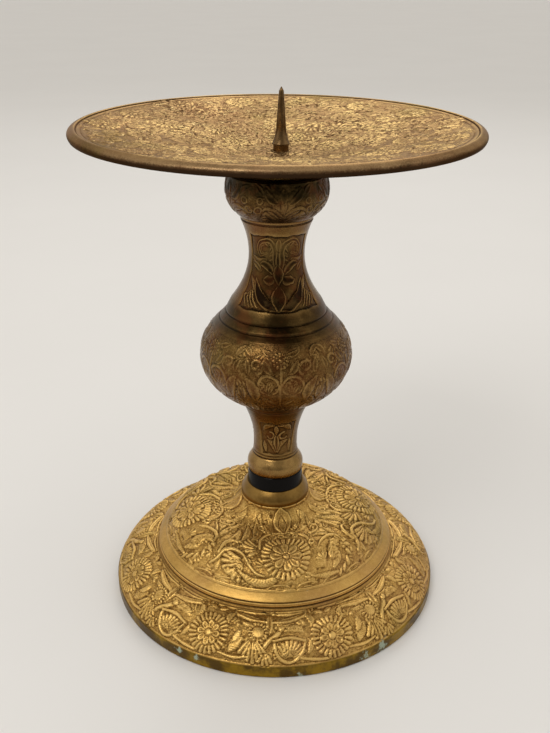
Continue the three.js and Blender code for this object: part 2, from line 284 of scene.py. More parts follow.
class Chasing:
    """Motifs on a turned surface, raised from a lowered ground with dark chased lines round them."""

    def __init__(self, angle, along, radius):
        self.angle = angle
        self.along = along
        self.radius = radius
        self.height = np.zeros(angle.shape)
        self.tint = np.zeros(angle.shape)
        self.bed = 0.0
        self.sink = 0.16
        self.chased = np.zeros(angle.shape)
        sway = 0.6 * np.sin(5 * angle + 1.3) + 0.4 * np.sin(13 * angle + 0.3 * along)
        lift = 0.6 * np.sin(7 * angle + 0.4) + 0.4 * np.sin(17 * angle + 0.25 * along)
        self.hand_angle = angle + 0.4 * sway / np.maximum(radius, 4.0)
        self.hand_along = along + 0.35 * lift

    def ground(self, start, end, depth, edge=0.4):
        """Lowers the band between two distances along the outline."""
        inside = smoothly(start, start + edge, self.along) * (1 - smoothly(end - edge, end, self.along))
        self.height -= depth * inside
        self.chased += inside
        self.bed = -depth

    def groove(self, at, width, depth):
        """A groove turned all the way round."""
        self.height -= depth * np.exp(-(((self.along - at) / width) ** 2))

    def sector(self, angle, along, count):
        """Millimetres across and up from a point that repeats a number of times round the axis."""
        pitch = 2 * math.pi / count
        turned_by = (self.hand_angle - math.radians(angle) + pitch / 2) % pitch - pitch / 2
        return turned_by * self.radius, self.hand_along - along

    def press(self, near, signed, profile, top, line=0.26, over=False, tint=0.0):
        """Raises what lies inside a signed distance, and sinks a chased line outside it."""
        before = self.height[near]
        target = self.bed + top * profile
        if not over:
            target = np.maximum(before, target)
        share = smoothly(0.05, -0.22, signed)
        raised = before + (target - before) * share
        floor = np.minimum(before, self.bed - self.sink)
        cut = before + (floor - before) * np.exp(-((signed / line) ** 2))
        self.height[near] = np.where(signed < 0, raised, cut)
        self.tint[near] = np.where(signed < 0, tint * smoothly(-0.25, -0.6, signed), self.tint[near])

    def around(self, place, points, margin):
        """The points of the surface that lie near a path."""
        across, up = place
        return (
            (across > points[:, 0].min() - margin)
            & (across < points[:, 0].max() + margin)
            & (up > points[:, 1].min() - margin)
            & (up < points[:, 1].max() + margin)
        )

    def nearest(self, place, near, points):
        """Distance from a path, distance run along it, and which side of it each point is on."""
        at = np.column_stack([place[0][near], place[1][near]])
        best = np.full(len(at), 1e9)
        side = np.zeros(len(at))
        run = np.zeros(len(at))
        passed = 0.0
        for corner, after in zip(points[:-1], points[1:]):
            span = after - corner
            length = math.hypot(*span)
            offset = at - corner
            share = np.clip(offset @ span / length**2, 0, 1)
            distance = np.linalg.norm(offset - share[:, None] * span, axis=1)
            closer = distance < best
            best = np.where(closer, distance, best)
            run = np.where(closer, passed + share * length, run)
            turn = (span[0] * offset[:, 1] - span[1] * offset[:, 0]) / length
            side = np.where(closer, turn, side)
            passed += length
        return best, run, side, passed

    def disc(self, place, centre, radius, top, over=False):
        """A round boss."""
        reach = np.hypot(place[0] - centre[0], place[1] - centre[1])
        near = reach < radius + 1
        crown = np.sqrt(np.clip(1 - (reach[near] / radius) ** 2, 0, 1)) * 0.6 + 0.4
        self.press(near, reach[near] - radius, crown, top, over=over)

    def pit(self, place, centre, radius, depth):
        """A punched hole."""
        reach = np.hypot(place[0] - centre[0], place[1] - centre[1])
        self.height -= depth * np.exp(-((reach / radius) ** 4))

    def hoop(self, place, centre, radius, half, top):
        """A raised ring with a hollow middle."""
        reach = np.hypot(place[0] - centre[0], place[1] - centre[1])
        near = reach < radius + half + 1
        signed = np.abs(reach[near] - radius) - half
        self.press(near, signed, np.ones(near.sum()), top, line=0.2)

    def rays(self, place, centre, count, start, end, width, top, hollow=False, turn=0.0):
        """Round-ended ribs or petals in a ring. Their width is a share of the room that each one has."""
        across = place[0] - centre[0]
        up = place[1] - centre[1]
        reach = np.hypot(across, up)
        near = (reach < end + 0.9) & (reach > start - 0.9)
        reach = reach[near]
        pitch = 2 * math.pi / count
        bearing = np.arctan2(across[near], up[near])
        folded = (bearing + turn + pitch / 2) % pitch - pitch / 2
        half = np.clip(reach, start, end) * math.sin(pitch / 2) * width
        blunt = end - end * math.sin(pitch / 2) * width
        beyond = np.maximum(reach - blunt, 0) + np.maximum(start - reach, 0)
        signed = np.hypot(reach * folded, beyond) - half
        if hollow:
            profile = self.dished(signed, np.maximum(half, 0.3))
        else:
            profile = np.sqrt(np.clip(1 - (reach * folded / np.maximum(half, 0.05)) ** 2, 0, 1)) * 0.5 + 0.5
        self.press(near, signed, profile, top, 0.2, over=hollow)

    def dished(self, signed, half):
        """Full height along the edge, and sunk in the middle, the less so the wider the form."""
        depth = np.clip(-signed / half, 0, 1)
        return 1 - min(1.15, 1.35 / half.max()) * smoothly(0.25, 0.75, depth)

    def stroke(self, place, points, widths, top, hatch=0.0, hollow=False, rib=0.0, tint=0.0):
        """A vine, a stem or a leaf along a path. Widths are half widths at even steps along it."""
        points = np.array(points, float)
        near = self.around(place, points, max(widths) + 1)
        if not near.any():
            return
        best, run, side, length = self.nearest(place, near, points)
        half = np.interp(run / length, np.linspace(0, 1, len(widths)), widths)
        signed = best - half
        slim = np.maximum(half, 0.05)
        if hollow:
            profile = self.dished(signed, slim)
        else:
            profile = np.sqrt(np.clip(1 - (best / slim) ** 2, 0, 1)) * 0.7 + 0.3
        if hatch:
            wave = np.sin(2 * math.pi * (run - 0.8 * np.abs(side)) / hatch)
            profile = profile * (0.78 + 0.3 * wave)
        if rib:
            profile = profile - rib * np.exp(-((side / 0.25) ** 2))
        self.press(near, signed, profile, top, over=hollow, tint=tint)

    def line(self, place, points, width, depth):
        """An engraved line along a path."""
        points = np.array(points, float)
        near = self.around(place, points, 3 * width)
        if near.any():
            best = self.nearest(place, near, points)[0]
            self.height[near] -= depth * np.exp(-((best / width) ** 2))

    def matting(self, start, end, pitch, depth, seed):
        """Small punch marks, one at a chance place in each cell of a band."""
        random = np.random.default_rng(seed)
        columns = int(round(2 * math.pi * self.radius.mean() / pitch))
        rows = int((end - start) / pitch) + 2
        chance = random.uniform(0.15, 0.85, (2, rows + 2, columns))
        across = self.hand_angle / (2 * math.pi) * columns
        up = (self.along - start) / pitch
        best = np.full(self.angle.shape, 9.0)
        for row_step in (-1, 0, 1):
            for column_step in (-1, 0, 1):
                column = np.floor(across).astype(int) + column_step
                row = np.floor(up).astype(int) + row_step
                spot = chance[:, np.clip(row, 0, rows + 1), column % columns]
                best = np.minimum(best, np.hypot(across - column - spot[0], up - row - spot[1]))
        inside = smoothly(start, start + 0.4, self.along) * (1 - smoothly(end - 0.4, end, self.along))
        self.height -= depth * inside * smoothly(0.55, 0.1, best)


def arc(centre, radius, start, end, steps=10, end_radius=None):
    """Points along an arc or a spiral, with angles in degrees from the across axis."""
    angles = np.radians(np.linspace(start, end, steps + 1))
    radii = np.linspace(radius, radius if end_radius is None else end_radius, steps + 1)
    return np.column_stack([centre[0] + radii * np.cos(angles), centre[1] + radii * np.sin(angles)])


def curve(points, steps=4):
    """A smooth path through a few points."""
    points = np.array(points, float)
    ends = np.vstack([2 * points[0] - points[1], points, 2 * points[-1] - points[-2]])
    path = [points[0]]
    for before, start, end, after in zip(ends[:-3], ends[1:-2], ends[2:-1], ends[3:]):
        for t in np.linspace(0, 1, steps + 1)[1:]:
            bend = (2 * before - 5 * start + 4 * end - after) * t**2 + (3 * start - before - 3 * end + after) * t**3
            path.append(start + 0.5 * ((end - before) * t + bend))
    return np.array(path)


def mirrored(points):
    """The same path on the other side of a motif's upright middle."""
    return np.array(points, float) * [-1, 1]


def leaf(work, place, root, tip, bend, width, top=0.5, hatch=0.9, hollow=False, tint=0.0):
    """A leaf that swells and bends to a point, between its root and its tip."""
    root = np.array(root, float)
    tip = np.array(tip, float)
    square = np.array([root[1] - tip[1], tip[0] - root[0]])
    t = np.linspace(0, 1, 9)[:, None]
    path = root + (tip - root) * t + square * bend * 4 * t * (1 - t)
    widths = [0.3 * width, 0.85 * width, width, 0.7 * width, 0.05]
    work.stroke(place, path, widths, top, 0 if hollow else hatch, hollow, 0.2, tint)


def low_leaf(work, place, root, tip, bend, width, top=0.2, tint=0.0):
    """A leaf drawn by its raised edge alone."""
    leaf(work, place, root, tip, bend, width, top, hollow=True, tint=tint)


def fan(work, place, root, bearing, spread, reach, count, top=0.5, start=0.25):
    """Narrow leaves that spread from a root, with their bearing counted from straight up."""
    for turn in np.linspace(-spread / 2, spread / 2, count):
        heading = math.radians(bearing + turn)
        toward = np.array([math.sin(heading), math.cos(heading)])
        short = reach * (1 - 0.25 * abs(turn / max(spread, 1)))
        half = 0.42 * reach * math.radians(spread) / count
        work.stroke(place, [root + toward * reach * start, root + toward * short], [0.3 * half, half, half], top)


def fringe(work, place, path, length, count, lean=40, top=0.5, width=0.45):
    """Short strokes that lean out from one side of a path, like the edge of an acanthus leaf."""
    path = np.array(path, float)
    for share in np.linspace(0.05, 0.95, count):
        at = share * (len(path) - 1)
        corner = int(at)
        span = path[corner + 1] - path[corner]
        foot_point = path[corner] + span * (at - corner)
        heading = math.atan2(span[1], span[0]) + math.radians(lean)
        reach = length * (0.7 + 0.3 * math.sin(math.pi * share))
        tip = foot_point + reach * np.array([math.cos(heading), math.sin(heading)])
        work.stroke(place, [foot_point, tip], [0.55 * width, width, 0.35 * width], top)


def sprays(work, start, end, count, fold, reach, top):
    """Small sprays of narrow leaves, spread evenly over a band and each turned another way."""
    for step in range(count):
        up = start + (end - start) * (step + 0.5) / count
        place = work.sector(360 / fold * (GOLDEN_SHARE * step % 1), up, fold)
        length = reach * (0.85 + 0.3 * (7 * GOLDEN_SHARE * step % 1))
        fan(work, place, np.array([0.0, 0.0]), 360 * GOLDEN_SHARE * 3 * step, 95, length, 4, top, 0.15)


def daisy(work, place, reach, petals, ribs, top=0.5, centre=(0, 0), inner=0.66, button=0.11):
    """A button, a ring of hollow petals and a fringe of thin ribs."""
    work.disc(place, centre, reach * 0.95, top * 0.35, over=True)
    work.rays(place, centre, ribs, reach * (inner + 0.05), reach, 0.74, top)
    work.rays(place, centre, petals, reach * (button + 0.1), reach * inner, 0.9, top, hollow=True)
    work.disc(place, centre, reach * button, top * 1.1)


# Node trees: Python's operators work on their sockets


class Value:
    """A socket of a node tree."""

    def __init__(self, owner, socket):
        self.owner = owner
        self.socket = socket

    def maths(self, operation, first, second=0.0):
        return self.owner.node("ShaderNodeMath", {"operation": operation}, {0: first, 1: second})

    def __add__(self, other):
        return self.maths("ADD", self, other)

    def __radd__(self, other):
        return self.maths("ADD", other, self)

    def __sub__(self, other):
        return self.maths("SUBTRACT", self, other)

    def __rsub__(self, other):
        return self.maths("SUBTRACT", other, self)

    def __mul__(self, other):
        return self.maths("MULTIPLY", self, other)

    def __rmul__(self, other):
        return self.maths("MULTIPLY", other, self)

    def __truediv__(self, other):
        return self.maths("DIVIDE", self, other)

    def __rtruediv__(self, other):
        return self.maths("DIVIDE", other, self)

    def __mod__(self, other):
        return self.maths("FLOORED_MODULO", self, other)

    def __gt__(self, other):
        return self.maths("GREATER_THAN", self, other)

    def __lt__(self, other):
        return self.maths("LESS_THAN", self, other)

    def sine(self):
        return self.maths("SINE", self)

    def cosine(self):
        return self.maths("COSINE", self)

    def size(self):
        return self.maths("ABSOLUTE", self)

    def least(self, other):
        return self.maths("MINIMUM", self, other)

    def most(self, other):
        return self.maths("MAXIMUM", self, other)

    def between(self, low_edge, high_edge):
        """0 below the low edge, 1 above the high edge and a smooth rise between them."""
        settings = {"interpolation_type": "SMOOTHSTEP"}
        sockets = {"Value": self, "From Min": low_edge, "From Max": high_edge}
        return self.owner.node("ShaderNodeMapRange", settings, sockets)


class Nodes:
    """A node tree, and the one way in which nodes are added to it."""

    def __init__(self, tree):
        self.tree = tree

    def node(self, kind, settings=None, sockets=None, output=0):
        """Adds a node: its settings first, then the values or links of its sockets."""
        node = self.tree.nodes.new(kind)
        for key, setting in (settings or {}).items():
            setattr(node, key, setting)
        for key, value in (sockets or {}).items():
            self.feed(node.inputs[key], value)
        return Value(self, node.outputs[output])

    def feed(self, socket, value):
        if isinstance(value, Value):
            self.tree.links.new(value.socket, socket)
        else:
            socket.default_value = value

    def parts(self, vector):
        """The three parts of a vector, each as a value."""
        split = self.node("ShaderNodeSeparateXYZ", None, {"Vector": vector})
        return [Value(self, output) for output in split.socket.node.outputs]


class Shape(Nodes):
    """A geometry tree: a mesh goes in, its named sizes are set on the modifier, and a finished mesh comes out."""

    def __init__(self, name, sizes):
        super().__init__(bpy.data.node_groups.new(name, "GeometryNodeTree"))
        self.tree.interface.new_socket("Outline", in_out="INPUT", socket_type="NodeSocketGeometry")
        self.tree.interface.new_socket("Piece", in_out="OUTPUT", socket_type="NodeSocketGeometry")
        for label, kind in sizes.items():
            self.tree.interface.new_socket(label, in_out="INPUT", socket_type="NodeSocket" + kind)
        self.inputs = self.tree.nodes.new("NodeGroupInput").outputs

    def size(self, label):
        return Value(self, self.inputs[label])

    def end(self, geometry):
        """Makes every instance real and gives the whole its material."""
        real = self.node("GeometryNodeRealizeInstances", None, {"Geometry": geometry})
        sockets = {"Geometry": real, "Material": self.size("Material")}
        dressed = self.node("GeometryNodeSetMaterial", None, sockets)
        output = self.tree.nodes.new("NodeGroupOutput")
        self.tree.links.new(dressed.socket, output.inputs[0])

    def grow(self, mesh, **values):
        """The plain mesh that the tree makes."""
        holder = bpy.data.objects.new("growing", mesh)
        bpy.context.scene.collection.objects.link(holder)
        modifier = holder.modifiers.new("growing", "NODES")
        modifier.node_group = self.tree
        for item in self.tree.interface.items_tree:
            if item.in_out == "INPUT" and item.name in values:
                modifier[item.identifier] = values[item.name]
        graph = bpy.context.evaluated_depsgraph_get()
        result = bpy.data.meshes.new_from_object(holder.evaluated_get(graph))
        holder.modifiers.remove(modifier)
        bpy.data.objects.remove(holder)
        return result


def lathe_shape():
    """Turns an outline about the Z axis. It can cut a right-hand thread in it and flats round it."""
    sizes = {"Points": "Int", "Rows": "Int", "Sides": "Int", "Centre": "Float", "Flats": "Float", "Pitch": "Float",
             "Depth": "Float", "Thread_Bottom": "Float", "Thread_Top": "Float", "Material": "Material"}
    shape = Shape("lathe", sizes)
    rows = shape.size("Rows")
    sides = shape.size("Sides")
    sheet = {"Size X": rows - 1.0, "Size Y": sides * 1.0, "Vertices X": rows, "Vertices Y": sides + 1.0}
    grid = shape.node("GeometryNodeMeshGrid", None, sheet)
    across, along, _ = shape.parts(shape.node("GeometryNodeInputPosition"))
    row = shape.node("ShaderNodeMath", {"operation": "ROUND"}, {0: across + (rows - 1.0) / 2}) % shape.size("Points")
    side = shape.node("ShaderNodeMath", {"operation": "ROUND"}, {0: along + sides / 2}) % sides
    outline = Value(shape, shape.inputs["Outline"])
    settings = {"data_type": "FLOAT_VECTOR"}
    sockets = {"Geometry": outline, "Value": shape.node("GeometryNodeInputPosition"), "Index": row}
    radius, _, level = shape.parts(shape.node("GeometryNodeSampleIndex", settings, sockets))
    share = side / sides
    angle = share * (2 * math.pi)
    threaded = (level > shape.size("Thread_Bottom")) * (level < shape.size("Thread_Top"))
    wave = ((level / shape.size("Pitch") - share) % 1.0 * 2 - 1.0).size()
    radius = radius - shape.size("Depth") * threaded * wave
    sixth = (share % (1 / 6) - 1 / 12) * (2 * math.pi)
    radius = radius.least(shape.size("Flats") / sixth.cosine())
    turned_place = {"X": radius * angle.sine() + shape.size("Centre"), "Y": radius * angle.cosine() * -1.0, "Z": level}
    for label, value in (("row", row), ("side", side)):
        sockets = {"Geometry": grid, "Name": label, "Value": value}
        grid = shape.node("GeometryNodeStoreNamedAttribute", {"data_type": "FLOAT"}, sockets)
    place = shape.node("ShaderNodeCombineXYZ", None, turned_place)
    wound = shape.node("GeometryNodeSetPosition", None, {"Geometry": grid, "Position": place})
    closed = shape.node("GeometryNodeMergeByDistance", None, {"Geometry": wound, "Distance": 0.001 * MM})
    shape.end(closed)
    return shape


LATHE = lathe_shape()
NO_FLATS = 1000.0


def lathed(outline, sides, material, centre=0.0, flats=NO_FLATS, thread=None):
    """The mesh of an outline turned about the axis. Where it meets the axis at both ends it isn't closed on itself."""
    count = len(outline)
    points = np.column_stack([outline[:, 0], np.zeros(count), outline[:, 1]]) * MM
    profile = bpy.data.meshes.new("outline")
    profile.from_pydata(points.tolist(), [], [])
    open_ended = outline[0, 0] < 1e-6 and outline[-1, 0] < 1e-6
    pitch, depth, bottom, top = thread or (1.0, 0.0, 0.0, 0.0)
    values = {"Points": count, "Rows": count if open_ended else count + 1, "Sides": sides, "Centre": centre * MM}
    values |= {"Flats": flats * MM, "Pitch": pitch * MM, "Depth": depth * MM, "Thread_Bottom": bottom * MM}
    return LATHE.grow(profile, Thread_Top=top * MM, Material=material, **values)


def finished(name, mesh, body, replaced):
    """Points a mesh's faces outwards, makes a piece of it and ties it to the frame."""
    work = bmesh.new()
    work.from_mesh(mesh)
    bmesh.ops.recalc_face_normals(work, faces=work.faces)
    work.to_mesh(mesh)
    work.free()
    mesh.polygons.foreach_set("use_smooth", [True] * len(mesh.polygons))
    mesh.name = name
    piece = bpy.data.objects.new(name, mesh)
    bpy.context.scene.collection.objects.link(piece)
    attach(piece, body)
    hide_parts(replaced)
    return piece


def numbers(mesh, label):
    """The values of a mesh attribute as whole numbers, one for each vertex."""
    found = np.zeros(len(mesh.vertices), np.float32)
    mesh.attributes[label].data.foreach_get("value", found)
    return found.round().astype(int)


def blurred(values, rows, columns):
    """The mean of the values round each point of the grid."""
    result = values
    for _ in range(2):
        total = sum(np.roll(result, shift, axis=1) for shift in range(-columns, columns + 1))
        result = total / (2 * columns + 1)
        padded = np.pad(result, ((rows, rows), (0, 0)), mode="edge")
        total = sum(padded[shift : shift + len(result)] for shift in range(2 * rows + 1))
        result = total / (2 * rows + 1)
    return result


def outward(outline):
    """The direction that the surface faces at each point of an outline."""
    ahead = np.gradient(outline, axis=0)
    ahead /= np.maximum(np.linalg.norm(ahead, axis=1), 1e-9)[:, None]
    return np.column_stack([ahead[:, 1], -ahead[:, 0]])


def standing_out(outline):
    """How far each point of an outline stands out from its surroundings, in millimetres."""
    spacing = 0.1
    reach = 7
    fine = evenly(outline, spacing)
    padded = np.pad(fine, ((reach, reach), (0, 0)), mode="edge")
    mean = sum(padded[step : step + len(fine)] for step in range(2 * reach + 1)) / (2 * reach + 1)
    stand = ((fine - mean) * outward(fine)).sum(axis=1)
    steps = np.linalg.norm(np.diff(outline, axis=0), axis=1)
    run = np.concatenate([[0], np.cumsum(steps)])
    return np.interp(run / run[-1], np.linspace(0, 1, len(fine)), stand)


def turned(name, before, chased, after, sides, material, node, chase=None, gain=1.0, plain=0.5, depth=1.0):
    """Turns an outline about the axis. It runs through plain points, the chased stretch and more plain points."""
    before = np.reshape(before, (-1, 2))
    outline = np.vstack([before, chased, np.reshape(after, (-1, 2))])
    mesh = lathed(outline, sides, material)
    facing = outward(outline)
    # Tone: up-facing rows are lighter and down-facing rows darker, a painted light from above; rows that stand out are
    # lighter and grooves darker, painted highlight and painted shade.
    tone = np.clip(plain + 0.45 * facing[:, 1:] + 3 * standing_out(outline)[:, None] + np.zeros((1, sides)), 0, 1)
    relief = np.zeros(tone.shape)
    worked = np.zeros(tone.shape)
    if chase:
        rows = slice(len(before), len(before) + len(chased))
        steps = np.linalg.norm(np.diff(chased, axis=0), axis=1)
        along = np.concatenate([[0], np.cumsum(steps)])[:, None] + np.zeros((1, sides))
        angle = np.linspace(0, 2 * math.pi, sides, endpoint=False)[None, :] + np.zeros(along.shape)
        work = Chasing(angle, along, chased[:, :1] + np.zeros(along.shape))
        chase(work)
        relief[rows] = work.height * depth
        worked[rows] = work.chased
        facing[rows] = outward(chased)
        # In the chased stretch, relief that rises above its surroundings is lighter and sunken ground darker: wear and
        # patina, with painted highlight and painted shade.
        tone[rows] = np.clip(0.5 + (work.height - blurred(work.height, 3, 4)) * gain + work.tint, 0, 1)
    row = numbers(mesh, "row")
    side = numbers(mesh, "side")
    places = np.zeros(3 * len(row), np.float32)
    mesh.vertices.foreach_get("co", places)
    places = places.reshape(-1, 3)
    turn = 2 * math.pi * side / sides
    push = relief[row, side] * MM
    places[:, 0] += push * facing[row, 0] * np.sin(turn)
    places[:, 1] -= push * facing[row, 0] * np.cos(turn)
    places[:, 2] += push * facing[row, 1]
    mesh.vertices.foreach_set("co", places.ravel())
    for label, values in (("tone", tone), ("chased", worked)):
        layer = mesh.attributes.new(label, "FLOAT", "POINT")
        layer.data.foreach_set("value", values[row, side].astype(np.float32))
    return finished(name, mesh, "stand", node)


# Materials


class Finish(Nodes):
    """A material and its nodes."""

    def __init__(self, name):
        self.material = bpy.data.materials.new(name)
        self.material.use_nodes = True
        super().__init__(self.material.node_tree)
        self.shader = self.tree.nodes["Principled BSDF"]

    def place(self):
        return self.node("ShaderNodeTexCoord", output="Object")

    def shifted(self, distance):
        """Object coordinates moved aside, so that two patterns don't fall together."""
        sockets = {"Vector": self.place(), "Location": (distance, distance, distance)}
        return self.node("ShaderNodeMapping", None, sockets)

    def attribute(self, name):
        return self.node("ShaderNodeAttribute", {"attribute_name": name}, output="Fac")

    def noise(self, scale, detail=4.0, roughness=0.55, place=None):
        sockets = {"Vector": place or self.place(), "Scale": scale, "Detail": detail, "Roughness": roughness}
        return self.node("ShaderNodeTexNoise", None, sockets)

    def mix(self, share, first, second):
        settings = {"data_type": "RGBA"}
        return self.node("ShaderNodeMix", settings, {0: share, 6: first, 7: second}, 2)

    def bump(self, height, strength, distance):
        sockets = {"Height": height, "Strength": strength, "Distance": distance * MM}
        return self.node("ShaderNodeBump", None, sockets)

    def set(self, **values):
        for key, value in values.items():
            self.feed(self.shader.inputs[key.replace("_", " ")], value)
        return self.material


def rgb(red, green, blue):
    return (red, green, blue, 1.0)


# What a flat look along the plate does to its reflections

GLANCING_TINT = rgb(0.63, 0.54, 0.48)


def aged_brass(name, bright, body, dark, dirt_and_shade_strength=0.7, smooth=0.38, stains_and_painted_light=None, engraved=0.0):
    """Chased brass: bright where hands rub it, with a painted highlight on raised and up-facing parts, brown in the
    hollows for patina and painted shade, near black in crevices for dirt and painted shade, with stains, specks and a
    cast grain.
    """
    finish = Finish(name)
    tone = finish.attribute("tone")
    cloud = finish.noise(34.0, 6.0, 0.65)
    grain = finish.noise(420.0, 4.0, 0.65)
    speck = finish.noise(2300.0, 2.0, 0.6)
    rough_share = finish.attribute("chased") * 0.6 + 0.4
    mottle = (cloud - 0.5) * 0.6 + ((grain - 0.5) * 0.8 + (speck - 0.5) * 0.9) * rough_share
    # Low tone turns the colour dark: patina in the hollows, with painted shade where surfaces sink or face down.
    wear_and_shade = (tone + mottle).between(0.1, 0.5)
    colour = finish.mix(wear_and_shade, dark, body)
    # High tone turns it bright: wear on raised parts, with a painted highlight on raised and up-facing ones.
    high = (tone + mottle * 1.2).between(0.42, 0.88)
    if engraved:
        high = high * (finish.noise(42.0, 2.0, 0.5, finish.shifted(0.5)).between(0.4, 0.6) * 0.75 + 0.25)
    colour = finish.mix(high, colour, bright)
    stain = finish.noise(21.0, 3.0, 0.7)
    colour = finish.mix(stain.between(0.5, 0.72) * 0.3, colour, rgb(0.36, 0.18, 0.09))
    olive = finish.noise(30.0, 3.0, 0.6, finish.shifted(0.21))
    colour = finish.mix(olive.between(0.52, 0.74) * 0.35, colour, rgb(0.2, 0.165, 0.045))
    # The lowest tone goes near black: dirt with painted shade in crevices and grooves.
    deep_shade_and_dirt = 1.0 - (tone + (grain - 0.5) * 0.2).between(0.0, 0.2)
    dirt_and_shade = ((1.0 - wear_and_shade) * grain.between(0.42, 0.66)).most(deep_shade_and_dirt) * dirt_and_shade_strength
    colour = finish.mix(dirt_and_shade, colour, rgb(0.012, 0.008, 0.005))
    rough = smooth + (1.0 - wear_and_shade) * 0.2 + (grain - 0.5) * 0.2 + (cloud - 0.5) * 0.1
    metal = 1.0
    if stains_and_painted_light:
        colour, rough, metal = stains_and_painted_light(finish, colour, rough, metal)
    skin = finish.noise(190.0, 3.0, 0.6) * 0.9 + (grain * 0.9 + speck * 0.6) * rough_share
    if engraved:
        burr_and_glint, score = engraving(finish, engraved)
        colour = finish.mix(score * 0.7, colour, dark)
        # The burr's bright colour is a painted glint.
        colour = finish.mix(burr_and_glint * 0.85, colour, rgb(0.86, 0.64, 0.3))
        skin = skin + burr_and_glint * 1.2 - score
        finish.shader.inputs["Specular Tint"].default_value = GLANCING_TINT
    normal = finish.bump(skin, 0.6, 0.2)
    return finish.set(Base_Color=colour, Metallic=metal, Roughness=rough, Normal=normal)


def engraving(finish, scale):
    """Short curved lines scored in the surface, each with a raised burr along one side that is painted bright as a
    glint.
    """
    wave = finish.noise(scale, 1.0, 0.4) - 0.5
    broken = finish.noise(scale * 1.3, 2.0, 0.5, finish.shifted(0.13)).between(0.52, 0.58) * finish.attribute("chased")
    score = (1.0 - wave.size().between(0.0, 0.04)) * broken
    burr_and_glint = (1.0 - (wave - 0.055).size().between(0.0, 0.045)) * broken
    return burr_and_glint, score


def edge_stains_and_reflection(finish, colour, rough, metal):
    """The foot's upright edge is a darker yellow, tarnish with a painted dark reflection, with a pale green bloom in a
    few spots.
    """
    place = finish.place()
    height = finish.parts(place)[2]
    edge = 1.0 - height.between(FOOT_EDGE_RISE * MM, (FOOT_EDGE_RISE + 0.8) * MM)
    patchy = finish.noise(75.0, 5.0, 0.7)
    tarnish_and_dark_reflection = finish.mix(patchy.between(0.4, 0.6), rgb(0.07, 0.04, 0.008), rgb(0.3, 0.18, 0.012))
    # Painted dark reflection with tarnish on the upright edge.
    colour = finish.mix(edge * 0.9, colour, tarnish_and_dark_reflection)
    bloom = 0.0
    for bearing, rise, reach in EDGE_SPOTS:
        turn = math.radians(bearing)
        centre = (FOOT_RADIUS * math.sin(turn) * MM, -FOOT_RADIUS * math.cos(turn) * MM, rise * MM)
        gap = finish.node("ShaderNodeVectorMath", {"operation": "DISTANCE"}, {0: place, 1: centre}, "Value")
        bloom = (1.0 - gap / (reach * MM)).most(bloom)
    bloom = (bloom + (finish.noise(420.0, 4.0, 0.7) - 0.68) * 3.0).between(0.0, 0.45)
    colour = finish.mix(bloom * 0.8, colour, rgb(0.42, 0.5, 0.38))
    return colour, rough + bloom * 0.3, metal * (1.0 - bloom * 0.8)


def stem_stains_and_shade(finish, colour, rough, metal):
    """Dark tarnish with painted shade round the ball's shoulder and under the plate, dark painted reflections on the
    front, and a reddish tarnish in blotches.
    """
    height = finish.parts(finish.place())[2] / MM
    uneven = (finish.noise(70.0, 4.0, 0.6) - 0.5) * 8
    dark = 0.0
    # Painted shade with tarnish in bands under the plate and round the ball's shoulder.
    for level, half, share in STEM_TARNISH_AND_SHADE:
        dark = ((1.0 - ((height + uneven - level) / half).size()) * (2 * share)).least(share).most(dark)
    colour = finish.mix(dark, colour, rgb(0.02, 0.014, 0.005))
    # Painted dark reflections on the front of the stem.
    for level, away, reach, share in STEM_DARK_REFLECTIONS:
        gap = finish.node("ShaderNodeVectorMath", {"operation": "DISTANCE"},
                          {0: finish.place(), 1: (0.0, -away * MM, level * MM)}, "Value")
        spot = 1.0 - (gap / MM + uneven * 0.5).between(0.3 * reach, reach)
        colour = finish.mix(spot * share, colour, rgb(0.014, 0.008, 0.003))
    red = finish.noise(95.0, 4.0, 0.65, finish.shifted(0.4)).between(0.46, 0.62)
    colour = finish.mix(red * 0.45, colour, rgb(0.12, 0.038, 0.012))
    olive = finish.noise(80.0, 5.0, 0.7, finish.shifted(0.7)).between(0.5, 0.66)
    colour = finish.mix(olive * 0.45, colour, rgb(0.17, 0.1, 0.032))
    return colour, rough + dark * 0.08, metal


def turned_brass(name, bright, dark, smooth=0.3):
    """Plain turned brass: a warm tarnish with fine rings from the lathe."""
    finish = Finish(name)
    cloud = finish.noise(45.0, 5.0, 0.6)
    grain = finish.noise(600.0, 3.0, 0.6)
    rings = (finish.parts(finish.place())[2] * (2 * math.pi / (0.45 * MM))).sine()
    colour = finish.mix((cloud + (grain - 0.5) * 0.4).between(0.32, 0.68), dark, bright)
    rough = smooth + (cloud - 0.5) * 0.25 + (grain - 0.5) * 0.2
    normal = finish.bump(rings * 0.25 + grain * 0.5, 0.25, 0.05)
    return finish.set(Base_Color=colour, Metallic=1.0, Roughness=rough, Normal=normal)


def black_lacquer():
    finish = Finish("black_lacquer")
    grain = finish.noise(500.0, 3.0, 0.5)
    scuff = finish.noise(120.0, 5.0, 0.7).between(0.58, 0.78)
    colour = finish.mix(scuff * 0.6, rgb(0.004, 0.003, 0.0025), rgb(0.022, 0.014, 0.01))
    rough = 0.14 + scuff * 0.25 + (grain - 0.5) * 0.08
    finish.shader.inputs["Specular IOR Level"].default_value = 0.08
    return finish.set(Base_Color=colour, Metallic=0.0, Roughness=rough, Normal=finish.bump(grain, 0.15, 0.03))


def zinc_steel():
    finish = Finish("zinc_steel")
    grain = finish.noise(700.0, 4.0, 0.6)
    stain = finish.noise(160.0, 5.0, 0.7).between(0.5, 0.8)
    colour = finish.mix(stain, rgb(0.46, 0.46, 0.44), rgb(0.2, 0.17, 0.13))
    return finish.set(Base_Color=colour, Metallic=1.0, Roughness=0.34 + stain * 0.25 + (grain - 0.5) * 0.2,
                      Normal=finish.bump(grain, 0.2, 0.04))


